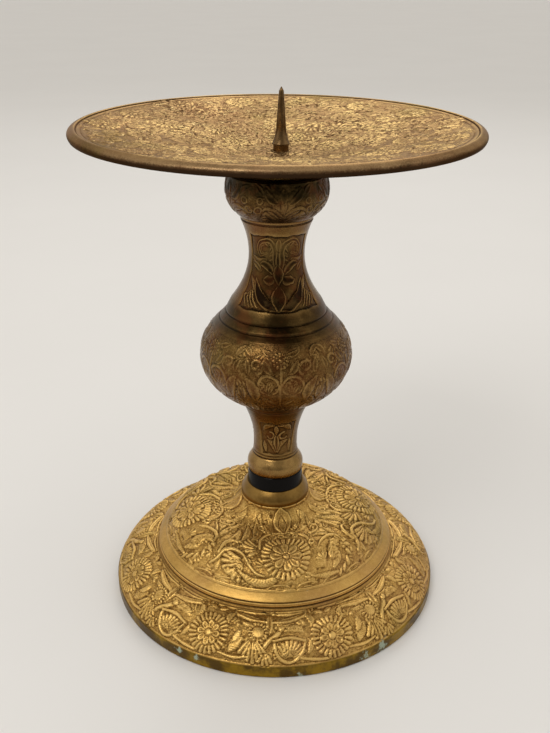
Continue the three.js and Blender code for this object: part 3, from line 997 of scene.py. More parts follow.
FOOT_BRASS = aged_brass("foot_brass", rgb(0.8, 0.52, 0.165), rgb(0.5, 0.29, 0.075), rgb(0.19, 0.095, 0.022),
                        dirt_and_shade_strength=0.6, smooth=0.38, stains_and_painted_light=edge_stains_and_reflection)
# The stem's brass is the same metal as the foot's, painted much darker for the plate's shadow and the dark reflections
# on the stem.
SHADED_STEM_BRASS = aged_brass("stem_brass", rgb(0.3, 0.18, 0.06), rgb(0.13, 0.066, 0.018), rgb(0.03, 0.012, 0.003),
                        smooth=0.27, stains_and_painted_light=stem_stains_and_shade)
PLATE_BRASS = aged_brass("plate_brass", rgb(0.86, 0.62, 0.26), rgb(0.36, 0.23, 0.11), rgb(0.09, 0.045, 0.02),
                         smooth=0.3, engraved=250.0)
COLLAR_BRASS = turned_brass("collar_brass", rgb(0.25, 0.145, 0.038), rgb(0.16, 0.085, 0.02), 0.32)
DARK_BRASS = turned_brass("dark_brass", rgb(0.2, 0.12, 0.05), rgb(0.09, 0.05, 0.02), 0.26)
BLACK_LACQUER = black_lacquer()
ZINC_STEEL = zinc_steel()


# Foot


def dome_chasing(work):
    """Four daisies round the dome. A scroll lies on the left of each and a heart on its right."""
    work.ground(0.9, 40.6, 0.34)
    work.matting(1.2, 40.4, 0.95, 0.1, 3)
    work.groove(0.5, 0.2, 0.2)
    sprays(work, 3.0, 35.0, 34, 4, 3.6, 0.26)
    place = work.sector(7.5, 15.0, 4)
    dome_border(work)
    dome_leaves(work, place)
    dome_scroll(work, place)
    dome_heart(work, place)
    daisy(work, place, 10.3, 8, 28, 0.44, button=0.13)


def dome_border(work):
    """Low pointed shapes and punched notches along the dome's edge."""
    notch = work.sector(3.0, 2.3, 26)
    work.stroke(notch, curve([(-4.8, -0.9), (-2.6, 0.5), (1.2, 1.0), (4.2, 0.0)]), [0.2, 0.4, 0.2], 0.34)
    work.stroke(notch, [(-1.6, -0.6), (1.6, -0.6)], [0.2, 0.3, 0.2], 0.3)
    work.pit(notch, (4.6, 0.4), 0.7, 0.25)


def dome_leaves(work, place):
    """A spade leaf above each daisy, and leaves and vines up to the boss."""
    arch = curve([(-10.6, 3.4), (-9.6, 9.2), (-5.2, 13.2), (0.4, 14.4), (5.8, 13.0), (9.8, 9.0), (10.8, 3.4)])
    fringe(work, place, arch[::-1], 2.6, 11, -60, 0.36)
    work.stroke(place, arch, [0.45, 0.6, 0.6, 0.6, 0.45], 0.44)
    for centre in ((-3.4, 11.9), (-0.6, 12.4), (5.2, 11.6)):
        work.hoop(place, centre, 1.0, 0.35, 0.36)
    leaf(work, place, (0.9, 14.6), (0.9, 26.4), 0.0, 4.0, 0.42, hollow=True)
    leaf(work, place, (0.9, 15.6), (0.9, 22.4), 0.0, 1.6, 0.36)
    leaf(work, place, (-4.6, 14.6), (-8.4, 23.2), 0.3, 2.4, 0.4, 1.1)
    leaf(work, place, (6.6, 14.2), (9.6, 22.8), -0.3, 2.2, 0.4, 1.1)
    leaf(work, place, (25.0, 1.6), (16.6, 17.6), 0.12, 2.7, 0.42, 1.0)
    leaf(work, place, (20.4, 5.2), (12.4, 20.6), 0.14, 1.9, 0.4)
    leaf(work, place, (-13.4, 8.0), (-11.0, 21.0), -0.12, 2.2, 0.42)
    leaf(work, place, (-18.4, 5.6), (-15.0, 16.4), -0.15, 2.0, 0.4)
    leaf(work, place, (-25.0, 4.2), (-18.6, 13.6), -0.15, 1.9, 0.4)
    leaf(work, place, (0.4, 27.0), (1.2, 36.0), 0.1, 1.5, 0.3)
    for side in (-1, 1):
        work.stroke(place, arc((5.4 * side, 28.6), 2.2, 90 - 150 * side, 90 + 170 * side, 12, 1.0), [0.3, 0.5, 0.3], 0.34)
        leaf(work, place, (8.6 * side, 25.4), (10.4 * side, 33.0), -0.25 * side, 1.7, 0.32)
    work.stroke(place, curve([(13.2, 8.4), (17.5, 6.6), (22.5, 3.0), (27.5, -1.5)]), [0.4, 0.65, 0.5], 0.44)
    curl = arc((13.9, 12.6), 2.9, -150, 170, 14, 1.5)
    work.stroke(place, curl, [0.4, 0.6, 0.45], 0.44)
    work.disc(place, (13.9, 12.6), 0.8, 0.4)
    for centre in ((-19.2, 3.9), (11.4, 5.2), (-8.6, 16.2), (21.0, 10.6)):
        work.hoop(place, centre, 1.2, 0.4, 0.4)
    for centre in ((-21.7, 5.9), (-7.4, 18.6), (-11.7, 11.7), (10.4, 16.0), (-3.6, 22.6), (-16.4, 18.4)):
        work.pit(place, centre, 0.75, 0.35)


def dome_scroll(work, place):
    """The scrolling vine on a daisy's left, with a hatched leaf inside and a crescent leaf below."""
    vine = curve([(-35.0, -8.5), (-30.7, -5.5), (-27.5, -1.3), (-22.9, 0.6), (-18.3, -0.9), (-16.2, -4.8)])
    tail = curve([(-16.2, -4.8), (-13.4, -7.8), (-10.0, -8.6)])
    fringe(work, place, vine, 3.2, 10, 65, 0.36)
    fan(work, place, np.array([-18.4, -3.2]), -118, 88, 10.4, 7, 0.42, start=0.12)
    leaf(work, place, (-27.4, -9.6), (-20.4, -10.8), 0.15, 1.7, 0.38)
    leaf(work, place, (-31.5, -10.4), (-28.6, -4.0), 0.1, 1.5, 0.38)
    work.stroke(place, vine, [0.45, 0.75, 0.8, 0.75], 0.48)
    work.stroke(place, tail, [0.75, 0.75, 0.6], 0.48)
    crescent = curve([(-22.0, -6.8), (-17.0, -10.5), (-11.7, -11.6), (-6.0, -9.8), (-2.5, -5.0)])
    work.stroke(place, crescent, [0.1, 1.5, 1.9, 1.5, 0.1], 0.44, hatch=1.3)
    work.stroke(place, curve([(-30.0, -3.0), (-27.0, 2.0), (-23.0, 4.6), (-20.4, 4.2)]), [0.5, 0.7, 0.4], 0.42)
    fan(work, place, np.array([-10.4, 2.8]), -88, 80, 7.0, 5, 0.4)


def dome_heart(work, place):
    """The curl on a daisy's right: an arch over a broad lobe, with a dark cut beside it and a leafy edge outside."""
    arch = curve([(13.2, 1.0), (15.6, 3.8), (19.4, 4.6), (23.6, 3.0), (26.8, -0.4)])
    lobe = curve([(24.6, 0.8), (21.4, 0.4), (20.4, -2.8), (22.0, -6.0), (20.2, -9.2)])
    edge = curve([(26.2, 0.4), (27.8, -3.6), (26.6, -8.2), (22.8, -11.2)])
    work.stroke(place, lobe, [1.2, 2.1, 2.4, 2.5, 0.8], 0.42, hatch=1.5, rib=0.3)
    fringe(work, place, edge, 3.8, 6, 38, 0.46, 0.85)
    work.stroke(place, arch, [0.3, 0.75, 0.7, 0.5, 0.2], 0.46)
    work.stroke(place, curve([(21.9, -11.6), (15.5, -10.9), (9.5, -9.4)]), [0.6, 1.2, 0.4], 0.44, hatch=1.1)
    work.line(place, curve([(18.2, 0.8), (17.6, -3.2), (17.0, -7.4)]), 0.55, 0.25)
    work.line(place, [(12.6, -7.6), (15.4, -8.0)], 0.5, 0.25)
    for centre in ((21.4, -0.6), (22.6, -4.4), (20.6, -6.2)):
        work.pit(place, centre, 0.55, 0.22)


def rim_chasing(work):
    """Eight daisies round the rim, with a cross of leaves, a bud, a fan and a shell between each two."""
    work.ground(5.0, 27.2, 0.3)
    work.matting(5.2, 27.0, 0.95, 0.1, 5)
    work.groove(4.75, 0.2, 0.2)
    sprays(work, 7.0, 26.0, 22, 8, 3.2, 0.24)
    place = work.sector(-1.5, 14.0, 8)
    rim_cross(work, place)
    rim_fans(work, place)
    work.stroke(place, curve([(12.6, -6.2), (16.5, -7.0), (21.0, -7.6), (27.0, -7.8)]), [0.5, 0.7, 0.5], 0.42)
    work.stroke(place, curve([(-21.0, -6.0), (-14.4, -7.1), (-9.0, -6.2)]), [0.4, 0.7, 0.5], 0.42)
    flower = work.sector(-24.0, 14.2, 8)
    daisy(work, flower, 8.6, 8, 25, 0.42, inner=0.6, button=0.18)


def rim_cross(work, place):
    """An upright pointed leaf with a long arm on each side, under the step."""
    for side in (-1, 1):
        arm = curve([(0.8 * side, 8.4), (6.5 * side, 9.2), (13.4 * side, 11.2)])
        work.stroke(place, arm, [0.6, 1.3, 1.1], 0.42)
        work.line(place, arm * [1, 1.03], 0.3, 0.28)
        work.stroke(place, curve([(1.0 * side, 12.4), (7.0 * side, 12.2), (14.0 * side, 12.6)]), [0.3, 0.5, 0.3], 0.36)
        leaf(work, place, (3.0 * side, 7.4), (11.6 * side, 7.8), -0.1 * side, 1.1, 0.36, 1.0)
        leaf(work, place, (14.2 * side, 10.6), (16.6 * side, 5.4), 0.2 * side, 1.2, 0.38)
        leaf(work, place, (17.4 * side, 12.2), (21.0 * side, 10.4), 0.1 * side, 1.0, 0.34)
        work.disc(place, (12.6 * side, 6.2), 0.8, 0.36)
    leaf(work, place, (0.0, 3.6), (0.0, 12.4), 0.0, 1.5, 0.46, hollow=True)
    work.rays(place, (-4.6, 3.9), 16, 2.0, 4.1, 0.75, 0.4)
    work.disc(place, (-4.6, 3.9), 2.4, 0.42)
    club = curve([(4.6, 5.4), (2.6, 2.6), (-0.4, 0.4), (-2.6, -3.0)])
    work.stroke(place, club, [0.8, 1.2, 0.9, 0.8], 0.46)
    work.disc(place, (4.8, 5.6), 1.3, 0.5)
    leaf(work, place, (6.4, 4.8), (14.0, 3.6), 0.2, 1.7, 0.4, 1.1)
    leaf(work, place, (2.6, 0.4), (1.0, -3.6), 0.1, 0.9, 0.36)


def rim_fans(work, place):
    """A hanging fan and a small pointed leaf on the left, and a shell on the right."""
    fan(work, place, np.array([-6.4, 2.4]), 180, 74, 10.4, 7, 0.42)
    leaf(work, place, (-16.0, -5.0), (-10.2, 1.4), 0.05, 2.4, 0.42, 1.1)
    leaf(work, place, (-15.2, -1.4), (-11.6, 5.0), -0.1, 1.3, 0.38)
    fan(work, place, np.array([8.2, -7.0]), 4, 112, 7.6, 9, 0.42, start=0.2)
    shell = curve([(1.8, 0.8), (2.8, -3.4), (5.2, -6.4), (8.2, -7.4), (11.2, -6.4), (13.4, -3.4), (14.4, 0.8)])
    work.stroke(place, shell, [0.5, 0.7, 0.5], 0.46)
    work.stroke(place, curve([(1.6, 0.6), (8.0, 1.9), (14.4, 0.4)]), [0.5, 0.8, 0.5], 0.46)
    fan(work, place, np.array([-1.4, -3.0]), 180, 60, 5.6, 4, 0.38)
    leaf(work, place, (15.6, -4.6), (16.4, 1.6), -0.1, 1.2, 0.36)


def moulding():
    """The ring between rim and dome: a hollow, a bead between two dark grooves and a smooth sloping band."""
    hollow = sweep((STEP_RADIUS, STEP_HEIGHT), 178, (BEAD_RADIUS - 0.4, STEP_HEIGHT + 1), 92, 8)
    bead = arc((BEAD_RADIUS - 2.1, STEP_HEIGHT + 2.1), 2, -30, 30, 8)
    band = sweep((BEAD_RADIUS - 0.05, BEAD_HEIGHT + 0.15), 130, (DOME_RADIUS, DOME_HEIGHT), 146, 8)
    outer = evenly(np.vstack([hollow, bead, band]), 0.13)
    inner = [(DOME_RADIUS - FOOT_WALL, DOME_HEIGHT), (BEAD_RADIUS - FOOT_WALL, STEP_HEIGHT)]
    turned("foot_moulding", [], outer, inner, 320, FOOT_BRASS, "foot", moulding_chasing)


def moulding_chasing(work):
    """Two grooves painted dark for shade and dirt, with a faint line between them on a band painted lighter as a
    highlight, over a hollow painted brown as shade.
    """
    for at, width, depth in MOULDING_GROOVES:
        work.groove(at, width, depth)
        # Painted shade in the grooves, a painted highlight on the bead between them and painted shade in the hollow
        # below.
        work.tint -= min(1.2, 3 * depth) * np.exp(-(((work.along - at) / (1.3 * width)) ** 2))
    work.tint += 0.3 * smoothly(2.0, 2.3, work.along) * smoothly(3.9, 3.6, work.along)
    work.tint -= 0.2 * smoothly(1.9, 1.3, work.along)


def dome():
    """The foot's dome, from the moulding to the boss, hollow inside with a hub for the rod."""
    rise = evenly(sweep((DOME_RADIUS, DOME_HEIGHT), 122, (BOSS_RADIUS, FOOT_TOP), 114, 60, 0.67, 0.43), 0.33)
    inner = inset(evenly(rise, 3.0), FOOT_WALL)
    inner = inner[(inner[:, 1] < FOOT_TOP - HUB_HEIGHT) & (inner[:, 0] > HUB_RADIUS)][::-1]
    inner = inner[inner[:, 0] < DOME_RADIUS - FOOT_WALL]
    hub = [(BORE_RADIUS, FOOT_TOP), (BORE_RADIUS, FOOT_TOP - HUB_HEIGHT), (HUB_RADIUS, FOOT_TOP - HUB_HEIGHT)]
    under = [(DOME_RADIUS - FOOT_WALL, DOME_HEIGHT)]
    turned("foot_dome", [], rise, np.vstack([hub, inner, under]), 700, FOOT_BRASS, "foot",
           dome_chasing, gain=1.35, depth=1.35)


def rim():
    """The foot's rim, from the sole over the upright edge and up to the moulding."""
    edge = (FOOT_RADIUS, FOOT_EDGE_RISE)
    step = (STEP_RADIUS, STEP_HEIGHT)
    outer = evenly(np.vstack([[(FOOT_RADIUS, FOOT_EDGE_ROUNDING)], sweep(edge, 115, step, 176, 60)]), 0.31)
    inner = inset(evenly(outer, 3.0), FOOT_WALL)[::-1]
    shelf = [(STEP_RADIUS - FOOT_WALL, STEP_HEIGHT)]
    sole = [(FOOT_RADIUS - FOOT_WALL, 0.0), (FOOT_RADIUS - FOOT_EDGE_ROUNDING, 0.0)]
    turned("foot_rim", [], outer, np.vstack([shelf, inner[1:-1], sole]), 940, FOOT_BRASS, "foot",
           rim_chasing, gain=1.35, depth=1.35)


# Stem


def stem_chasing(work):
    """Three chased panels with smooth strips between them, over a turned collar band."""
    work.groove(9.2, 0.3, 0.35)
    work.groove(10.6, 0.22, 0.25)
    work.groove(33.6, 0.25, 0.25)
    work.tint += 0.3 * (work.along < 9.0)
    place = work.sector(4.0, 19.6, 3)
    half = 7.0 + 0.12 * place[1]
    inside = smoothly(half, half - 0.4, np.abs(place[0])) * smoothly(7.8, 7.4, np.abs(place[1]))
    work.height -= 0.2 * inside
    work.tint -= 0.08 * inside
    work.bed = -0.2
    for side in (-1, 1):
        work.line(place, [(6.1 * side, -7.7), (7.9 * side, 7.7)], 0.2, 0.25)
        leaf(work, place, (0.3 * side, -6.8), (4.8 * side, -1.2), 0.2 * side, 1.5, 0.28)
        leaf(work, place, (0.4 * side, 6.9), (6.0 * side, 3.0), 0.2 * side, 1.4, 0.28)
        work.stroke(place, arc((3.1 * side, 0.8), 2.3, 90, 90 + 250 * side, 10, 0.9), [0.4, 0.5, 0.35], 0.28)
        leaf(work, place, (5.0 * side, -6.8), (6.0 * side, -1.4), 0.0, 1.0, 0.26)
    leaf(work, place, (0.0, -5.6), (0.0, 2.4), 0.0, 1.5, 0.3, hollow=True)
    leaf(work, place, (0.0, 2.0), (0.0, 7.0), 0.0, 1.1, 0.28)
    work.line(place, curve([(-7.9, 7.7), (0.0, 7.0), (7.9, 7.7)]), 0.2, 0.25)
    work.line(place, [(-6.1, -7.7), (6.1, -7.7)], 0.2, 0.25)


def lower_stem():
    waist = STEM_BOTTOM + STEM_WAIST_RISE
    middle = (BAND_RADIUS, STEM_BOTTOM + BAND_RISE)
    neck = flare(STEM_WAIST_RADIUS, waist, STEM_WAIST_RADIUS + 0.5, STEM_BOTTOM + BAND_TOP_RISE, 10)[::-1]
    lower = sweep((BAND_BOTTOM_RADIUS, STEM_BOTTOM), 50, middle, 90, 10)
    upper = sweep(middle, 90, neck[0], 118, 12)[1:]
    top = flare(STEM_WAIST_RADIUS, waist, STEM_TOP_RADIUS, BALL_BOTTOM, 30)[1:]
    outer = evenly(np.vstack([lower, upper, neck[1:], top]), 0.3)
    bore = [(BORE_RADIUS, BALL_BOTTOM), (BORE_RADIUS, STEM_BOTTOM)]
    turned("lower_stem_piece", [], outer, bore, 320, SHADED_STEM_BRASS, "lower_stem", stem_chasing,
           gain=2.2)


def ball_chasing(work):
    """Pairs of round loops between leaves, a sprig below each pair and a rosette and curls above it."""
    work.ground(1.6, 44.6, 0.1)
    work.matting(2.0, 44.2, 1.0, 0.05, 9)
    work.sink = 0.1
    work.groove(0.9, 0.3, 0.18)
    work.groove(47.9, 0.26, 0.35)
    sprays(work, 4.0, 43.0, 26, 6, 3.4, 0.12)
    place = work.sector(4.0, 28.0, 6)
    low_leaf(work, place, (0.0, -25.0), (0.0, -11.6), 0.0, 2.3, 0.16)
    for side in (-1, 1):
        low_leaf(work, place, (4.6 * side, -24.0), (6.0 * side, -12.6), 0.05 * side, 1.9, 0.16)
        low_leaf(work, place, (9.6 * side, -21.0), (12.0 * side, -10.0), 0.1 * side, 2.0, 0.16)
        low_leaf(work, place, (0.4 * side, -11.4), (5.6 * side, -6.6), -0.15 * side, 1.5, 0.17)
        low_leaf(work, place, (1.0 * side, -12.2), (9.4 * side, -9.4), -0.15 * side, 1.5, 0.17)
        work.stroke(place, arc((4.7 * side, 0.0), 4.2, -62, 242, 20), [0.45, 0.6, 0.6, 0.45], 0.19)
        for turn in (-38, 0, 38):
            heading = math.radians(turn)
            tip = (4.7 * side + 2.9 * math.sin(heading), -2.4 + 4.4 * math.cos(heading))
            low_leaf(work, place, (4.7 * side, -3.6), tip, 0.0, 0.95, 0.16)
        low_leaf(work, place, (9.6 * side, -8.0), (14.6 * side, 3.0), 0.1 * side, 2.4, 0.18)
        low_leaf(work, place, (14.8 * side, -9.0), (15.5 * side, -1.0), 0.0, 1.5, 0.16)
        work.stroke(place, arc((9.6 * side, 7.4), 3.0, 90 + 160 * side, 90 - 190 * side, 14, 1.1), [0.45, 0.6, 0.4], 0.18)
        low_leaf(work, place, (3.0 * side, 5.2), (6.4 * side, 10.8), -0.15 * side, 1.5, 0.17)
        low_leaf(work, place, (11.8 * side, 11.0), (14.6 * side, 15.4), 0.1 * side, 1.5, 0.16)
        low_leaf(work, place, (2.6 * side, 12.6), (7.4 * side, 14.6), -0.1 * side, 1.3, 0.16)
        low_leaf(work, place, (13.4 * side, 4.4), (14.4 * side, 10.4), 0.1 * side, 1.3, 0.16)
    work.stroke(place, [(0.0, -11.0), (0.0, 6.4)], [0.35, 0.5, 0.5], 0.18)
    daisy(work, place, 3.4, 6, 12, 0.18, centre=(0.0, 10.2), button=0.2)


def ball():
    fall = rise_at_radius(BALL_RADIUS, BALL_HALF_HEIGHT, STEM_TOP_RADIUS + BALL_UNDERCUT)
    centre = BALL_BOTTOM + BALL_SEAM_HEIGHT + fall
    shoulder = rise_at_radius(BALL_RADIUS, BALL_HALF_HEIGHT, BALL_SHOULDER_RADIUS)
    body = bulge(BALL_RADIUS, BALL_HALF_HEIGHT, centre, centre - fall, centre + shoulder, 80)
    outer = evenly(np.vstack([[(STEM_TOP_RADIUS, BALL_BOTTOM)], body, [(BALL_TOP_RADIUS, NECK_BOTTOM)]]), 0.36)
    hollow_radius = BALL_RADIUS - BALL_WALL
    hollow_half = BALL_HALF_HEIGHT - BALL_WALL
    mouth = centre + rise_at_radius(hollow_radius, hollow_half, BALL_MOUTH_RADIUS)
    floor = centre - rise_at_radius(hollow_radius, hollow_half, BALL_FLOOR_RADIUS)
    inner = bulge(hollow_radius, hollow_half, centre, mouth, floor, 12)
    after = np.vstack([[(BALL_MOUTH_RADIUS, NECK_BOTTOM)], inner, [(BORE_RADIUS, floor), (BORE_RADIUS, BALL_BOTTOM)]])
    turned("ball_piece", [], outer, after, 560, SHADED_STEM_BRASS, "ball_knop", ball_chasing, gain=2.2)


def neck_chasing(work):
    """Two wide panels: a dark tulip at the bottom of each, and a pair of serrated leaf scrolls above it."""
    work.groove(0.35, 0.25, 0.35)
    place = work.sector(4.5, 20.0, 2)
    half = math.radians(60) * work.radius
    inside = smoothly(half, half - 0.4, np.abs(place[0])) * (place[1] > -13.9) * (place[1] < 15.3)
    work.height -= 0.2 * inside
    work.tint -= 0.16 * inside
    work.bed = -0.2
    work.sink = 0.12
    edge = [(math.radians(60) * radius, up) for radius, up in PANEL_EDGE]
    work.line(place, edge, 0.22, 0.35)
    work.line(place, mirrored(edge), 0.22, 0.35)
    work.line(place, [(-12.2, 15.3), (12.2, 15.3)], 0.22, 0.35)
    work.line(place, [(-18.0, -13.9), (18.0, -13.9)], 0.22, 0.35)
    for side in (-1, 1):
        for step in range(4):
            feather = curve([(9.4 + 1.9 * step, -13.0), (11.2 + 1.5 * step, -9.4), (11.3 + 0.9 * step, -5.2 - step)])
            work.stroke(place, feather * [side, 1], [0.25, 0.45, 0.1], 0.18)
        leaf(work, place, (9.8 * side, -7.6), (12.4 * side, -1.0), 0.1 * side, 1.3, 0.28)
        petal = curve([(0.8, -13.0), (5.0, -11.4), (8.4, -7.2), (9.6, -1.4)]) * [side, 1]
        work.stroke(place, petal, [0.8, 2.3, 2.3, 1.3, 0.1], 0.24, hollow=True, tint=-0.9)
        scroll = curve([(0.8, 1.0), (1.4, 5.6), (1.2, 9.4), (3.0, 13.0), (6.6, 13.4), (8.6, 10.6), (7.4, 7.6), (5.0, 8.4)])
        fringe(work, place, scroll[::-1] * [side, 1], 3.2, 15, 62 * side, 0.2)
        work.stroke(place, scroll * [side, 1], [0.6, 1.1, 1.1, 0.9, 0.5], 0.24, hollow=True, tint=-0.12)
        low_leaf(work, place, (5.2 * side, 5.8), (11.4 * side, 7.0), -0.25 * side, 1.7, 0.22)
        low_leaf(work, place, (2.4 * side, 0.6), (8.6 * side, 4.0), 0.2 * side, 1.7, 0.22, -0.2)
        low_leaf(work, place, (2.0 * side, -0.6), (6.6 * side, -1.8), -0.2 * side, 1.9, 0.2, -0.35)
        low_leaf(work, place, (7.6 * side, 1.4), (11.6 * side, 4.4), 0.1 * side, 1.2, 0.2)
        work.pit(place, (3.6 * side, 1.8), 0.7, 0.2)
    low_leaf(work, place, (0.0, -13.0), (0.0, -3.4), 0.0, 2.9, 0.24, -0.9)
    low_leaf(work, place, (0.0, -3.0), (0.0, 4.6), 0.0, 2.2, 0.22, -0.4)
    low_leaf(work, place, (0.0, 9.8), (0.0, 15.0), 0.0, 1.2, 0.2)


def neck():
    waist = NECK_BOTTOM + NECK_WAIST_RISE
    lower = flare(NECK_WAIST_RADIUS, waist, NECK_FLARE_RADIUS, NECK_BOTTOM + NECK_BAND_RISE, 40)[::-1]
    upper = flare(NECK_WAIST_RADIUS, waist, NECK_TOP_RADIUS, CUP_BOTTOM, 24)[1:]
    outer = evenly(np.vstack([[(BALL_TOP_RADIUS, NECK_BOTTOM)], lower, upper]), 0.32)
    spigot = BALL_MOUTH_RADIUS - SPIGOT_CLEARANCE
    spigot_bottom = NECK_BOTTOM - SPIGOT_HEIGHT
    after = [(BORE_RADIUS, CUP_BOTTOM), (BORE_RADIUS, spigot_bottom), (spigot, spigot_bottom), (spigot, NECK_BOTTOM)]
    turned("neck_piece", [], outer, after, 400, SHADED_STEM_BRASS, "neck", neck_chasing, gain=2.6)


def cup_chasing(work):
    """Palmettes with loops between them, over two dark grooves."""
    work.groove(0.4, 0.28, 0.4)
    work.groove(1.7, 0.22, 0.3)
    work.ground(3.4, 19.0, 0.12)
    work.matting(3.6, 18.6, 1.0, 0.05, 12)
    work.sink = 0.12
    sprays(work, 4.6, 17.5, 9, 5, 2.8, 0.12)
    place = work.sector(8.0, 5.4, 5)
    fan(work, place, np.array([0.0, -1.2]), 0, 130, 8.6, 7, 0.2, start=0.2)
    for side in (-1, 1):
        petal = curve([(0.5, 1.4), (4.0, 4.6), (7.4, 4.0), (9.4, 0.6)]) * [side, 1]
        work.stroke(place, petal, [0.3, 0.8, 0.7, 0.1], 0.2)
        work.hoop(place, (10.0 * side, 3.6), 1.4, 0.35, 0.2)
        work.hoop(place, (9.2 * side, 7.4), 1.2, 0.35, 0.18)
        low_leaf(work, place, (2.2 * side, 7.0), (6.6 * side, 12.8), -0.15 * side, 1.6, 0.2, -0.25)
        low_leaf(work, place, (7.6 * side, 9.4), (10.8 * side, 13.2), 0.1 * side, 1.4, 0.2)
        low_leaf(work, place, (5.4 * side, -1.0), (8.8 * side, -1.2), 0.2 * side, 1.2, 0.2)
    low_leaf(work, place, (0.0, 7.0), (0.0, 13.2), 0.0, 1.6, 0.2, -0.3)


def cup():
    centre = CUP_BOTTOM + CUP_BULGE_RISE
    fall = rise_at_radius(CUP_RADIUS, CUP_BULGE_HALF_HEIGHT, CUP_WAIST_RADIUS + CUP_UNDERCUT)
    start = [(NECK_TOP_RADIUS, CUP_BOTTOM), (CUP_WAIST_RADIUS, CUP_BOTTOM + CUP_WAIST_RISE)]
    body = bulge(CUP_RADIUS, CUP_BULGE_HALF_HEIGHT, centre, centre - fall, centre, 40)
    top = flare(CUP_RADIUS, centre, CUP_TOP_RADIUS, SEAT_BOTTOM, 14)[1:]
    outer = evenly(np.vstack([start, body, top]), 0.3)
    bore_top = CUP_BOTTOM + ROD_DEPTH
    bore = [(0, bore_top), (BORE_RADIUS, bore_top), (BORE_RADIUS, CUP_BOTTOM)]
    shank_bottom = SEAT_BOTTOM - SHANK_DEPTH
    tapped = [(SHANK_BORE_RADIUS, SEAT_BOTTOM), (SHANK_BORE_RADIUS, shank_bottom), (0, shank_bottom)]
    turned("cup_piece", bore, outer, tapped, 420, SHADED_STEM_BRASS, "cup", cup_chasing, gain=2)


# Plate


def plate_chasing(work):
    """Rings of flowers and leaves over the whole dish, and short cuts scattered between them."""
    work.groove(1.3, 0.28, 0.35)
    work.ground(2.0, 80.0, 0.06)
    work.matting(2.2, 70.0, 1.25, 0.05, 21)
    work.sink = 0.06
    sprays(work, 3.0, 70.0, 62, 3, 6.2, 0.28)
    for count, up, reach, petals, turn in PLATE_FLOWERS:
        place = work.sector(turn, up, count)
        between = work.sector(turn + 180 / count, up, count)
        room = math.pi * (PLATE_RADIUS - LIP_WIDTH - up) / count
        for side in (-1, 1):
            vine = curve([(0.0, -reach), (0.35 * room * side, -0.2 * reach), (0.15 * room * side, reach)])
            work.stroke(between, vine, [0.3, 0.5, 0.2], 0.2)
            low_leaf(work, between, (0.2 * room * side, -0.6 * reach), (0.75 * room * side, -1.1 * reach), 0.2, 1.1, 0.2)
            low_leaf(work, between, (0.3 * room * side, 0.1 * reach), (0.7 * room * side, 1.0 * reach), -0.2, 1.2, 0.2)
            low_leaf(work, between, (0.1 * room * side, 0.9 * reach), (0.4 * room * side, 1.6 * reach), 0.1, 0.9, 0.2)
        daisy(work, place, reach, petals, petals * 2, 0.32, inner=0.62, button=0.16)
        fan(work, between, np.array([0.0, -0.2 * reach]), 0, 80, 1.1 * reach, 5, 0.2)
    scattered_cuts(work)


def scattered_cuts(work):
    """Short bright strokes and dark punched dots, each kind at chance places on the dish."""
    random = np.random.default_rng(31)
    for _ in range(PLATE_CUTS):
        up = 3.0 + 66.0 * (1 - math.sqrt(random.uniform(0.0, 0.96)))
        place = work.sector(random.uniform(0, 360), up, 3)
        heading = random.uniform(0, math.pi)
        reach = random.uniform(1.6, 4.2)
        bow = random.uniform(-0.8, 0.8)
        along = np.array([math.cos(heading), math.sin(heading)])
        across = np.array([-along[1], along[0]])
        path = curve([-along * reach, across * bow, along * reach])
        if random.uniform() < 0.6:
            work.stroke(place, path, [0.1, 0.7, 0.1], 0.38)
        else:
            work.line(place, path, 0.3, 0.22)
    for _ in range(PLATE_CUTS // 3):
        up = 3.0 + 66.0 * (1 - math.sqrt(random.uniform(0.0, 0.96)))
        work.pit(work.sector(random.uniform(0, 360), up, 3), (0, 0), 0.55, 0.25)


def plate():
    lip_radius = PLATE_RADIUS - LIP_WIDTH
    lip_top = PLATE_TOP + PLATE_RISE
    dish = evenly([(lip_radius, lip_top), (PLATE_FLAT_RADIUS, PLATE_TOP), (PLATE_HOLE_RADIUS, PLATE_TOP)], 0.5)
    crest = (lip_radius + LIP_WIDTH * LIP_CREST_SHARE, lip_top + LIP_CROWN)
    brim = (PLATE_RADIUS, lip_top - LIP_DROP / 2)
    brim_foot = (PLATE_RADIUS - LIP_CROWN, lip_top - LIP_DROP)
    under = [(PLATE_HOLE_RADIUS, PLATE_BOTTOM), (PLATE_SEAT_RADIUS, PLATE_BOTTOM), (lip_radius, lip_top - LIP_DROP)]
    outer = np.vstack([sweep(brim_foot, 60, brim, 95, 5), sweep(brim, 95, crest, 165, 8)[1:]])
    inner = sweep(crest, 165, (lip_radius + 0.3, lip_top - 0.1), 240, 5)[1:]
    # The low plain tone darkens the lip and the plate's underside: painted shade, and a painted dark reflection on the
    # lip's outer face.
    turned("plate_piece", np.vstack([evenly(under, 8.0), outer, inner]), dish, [], 576, PLATE_BRASS,
           "drip_plate", plate_chasing, gain=1.7, plain=-0.09)


# Plain turned parts


def plain_part(name, node, outline, material, slot, sides=160, body="stand", **lathe_values):
    """A turned part with no chasing."""
    mesh = lathed(np.array(outline, float), sides, material, **lathe_values)
    return finished(name, mesh, body, node)


def with_bore(outer, bore=BORE_RADIUS):
    """The outline of a ring: its outside from bottom to top, and a straight bore."""
    outer = evenly(outer, 0.3)
    return np.vstack([outer, [(bore, outer[-1, 1]), (bore, outer[0, 1])]])


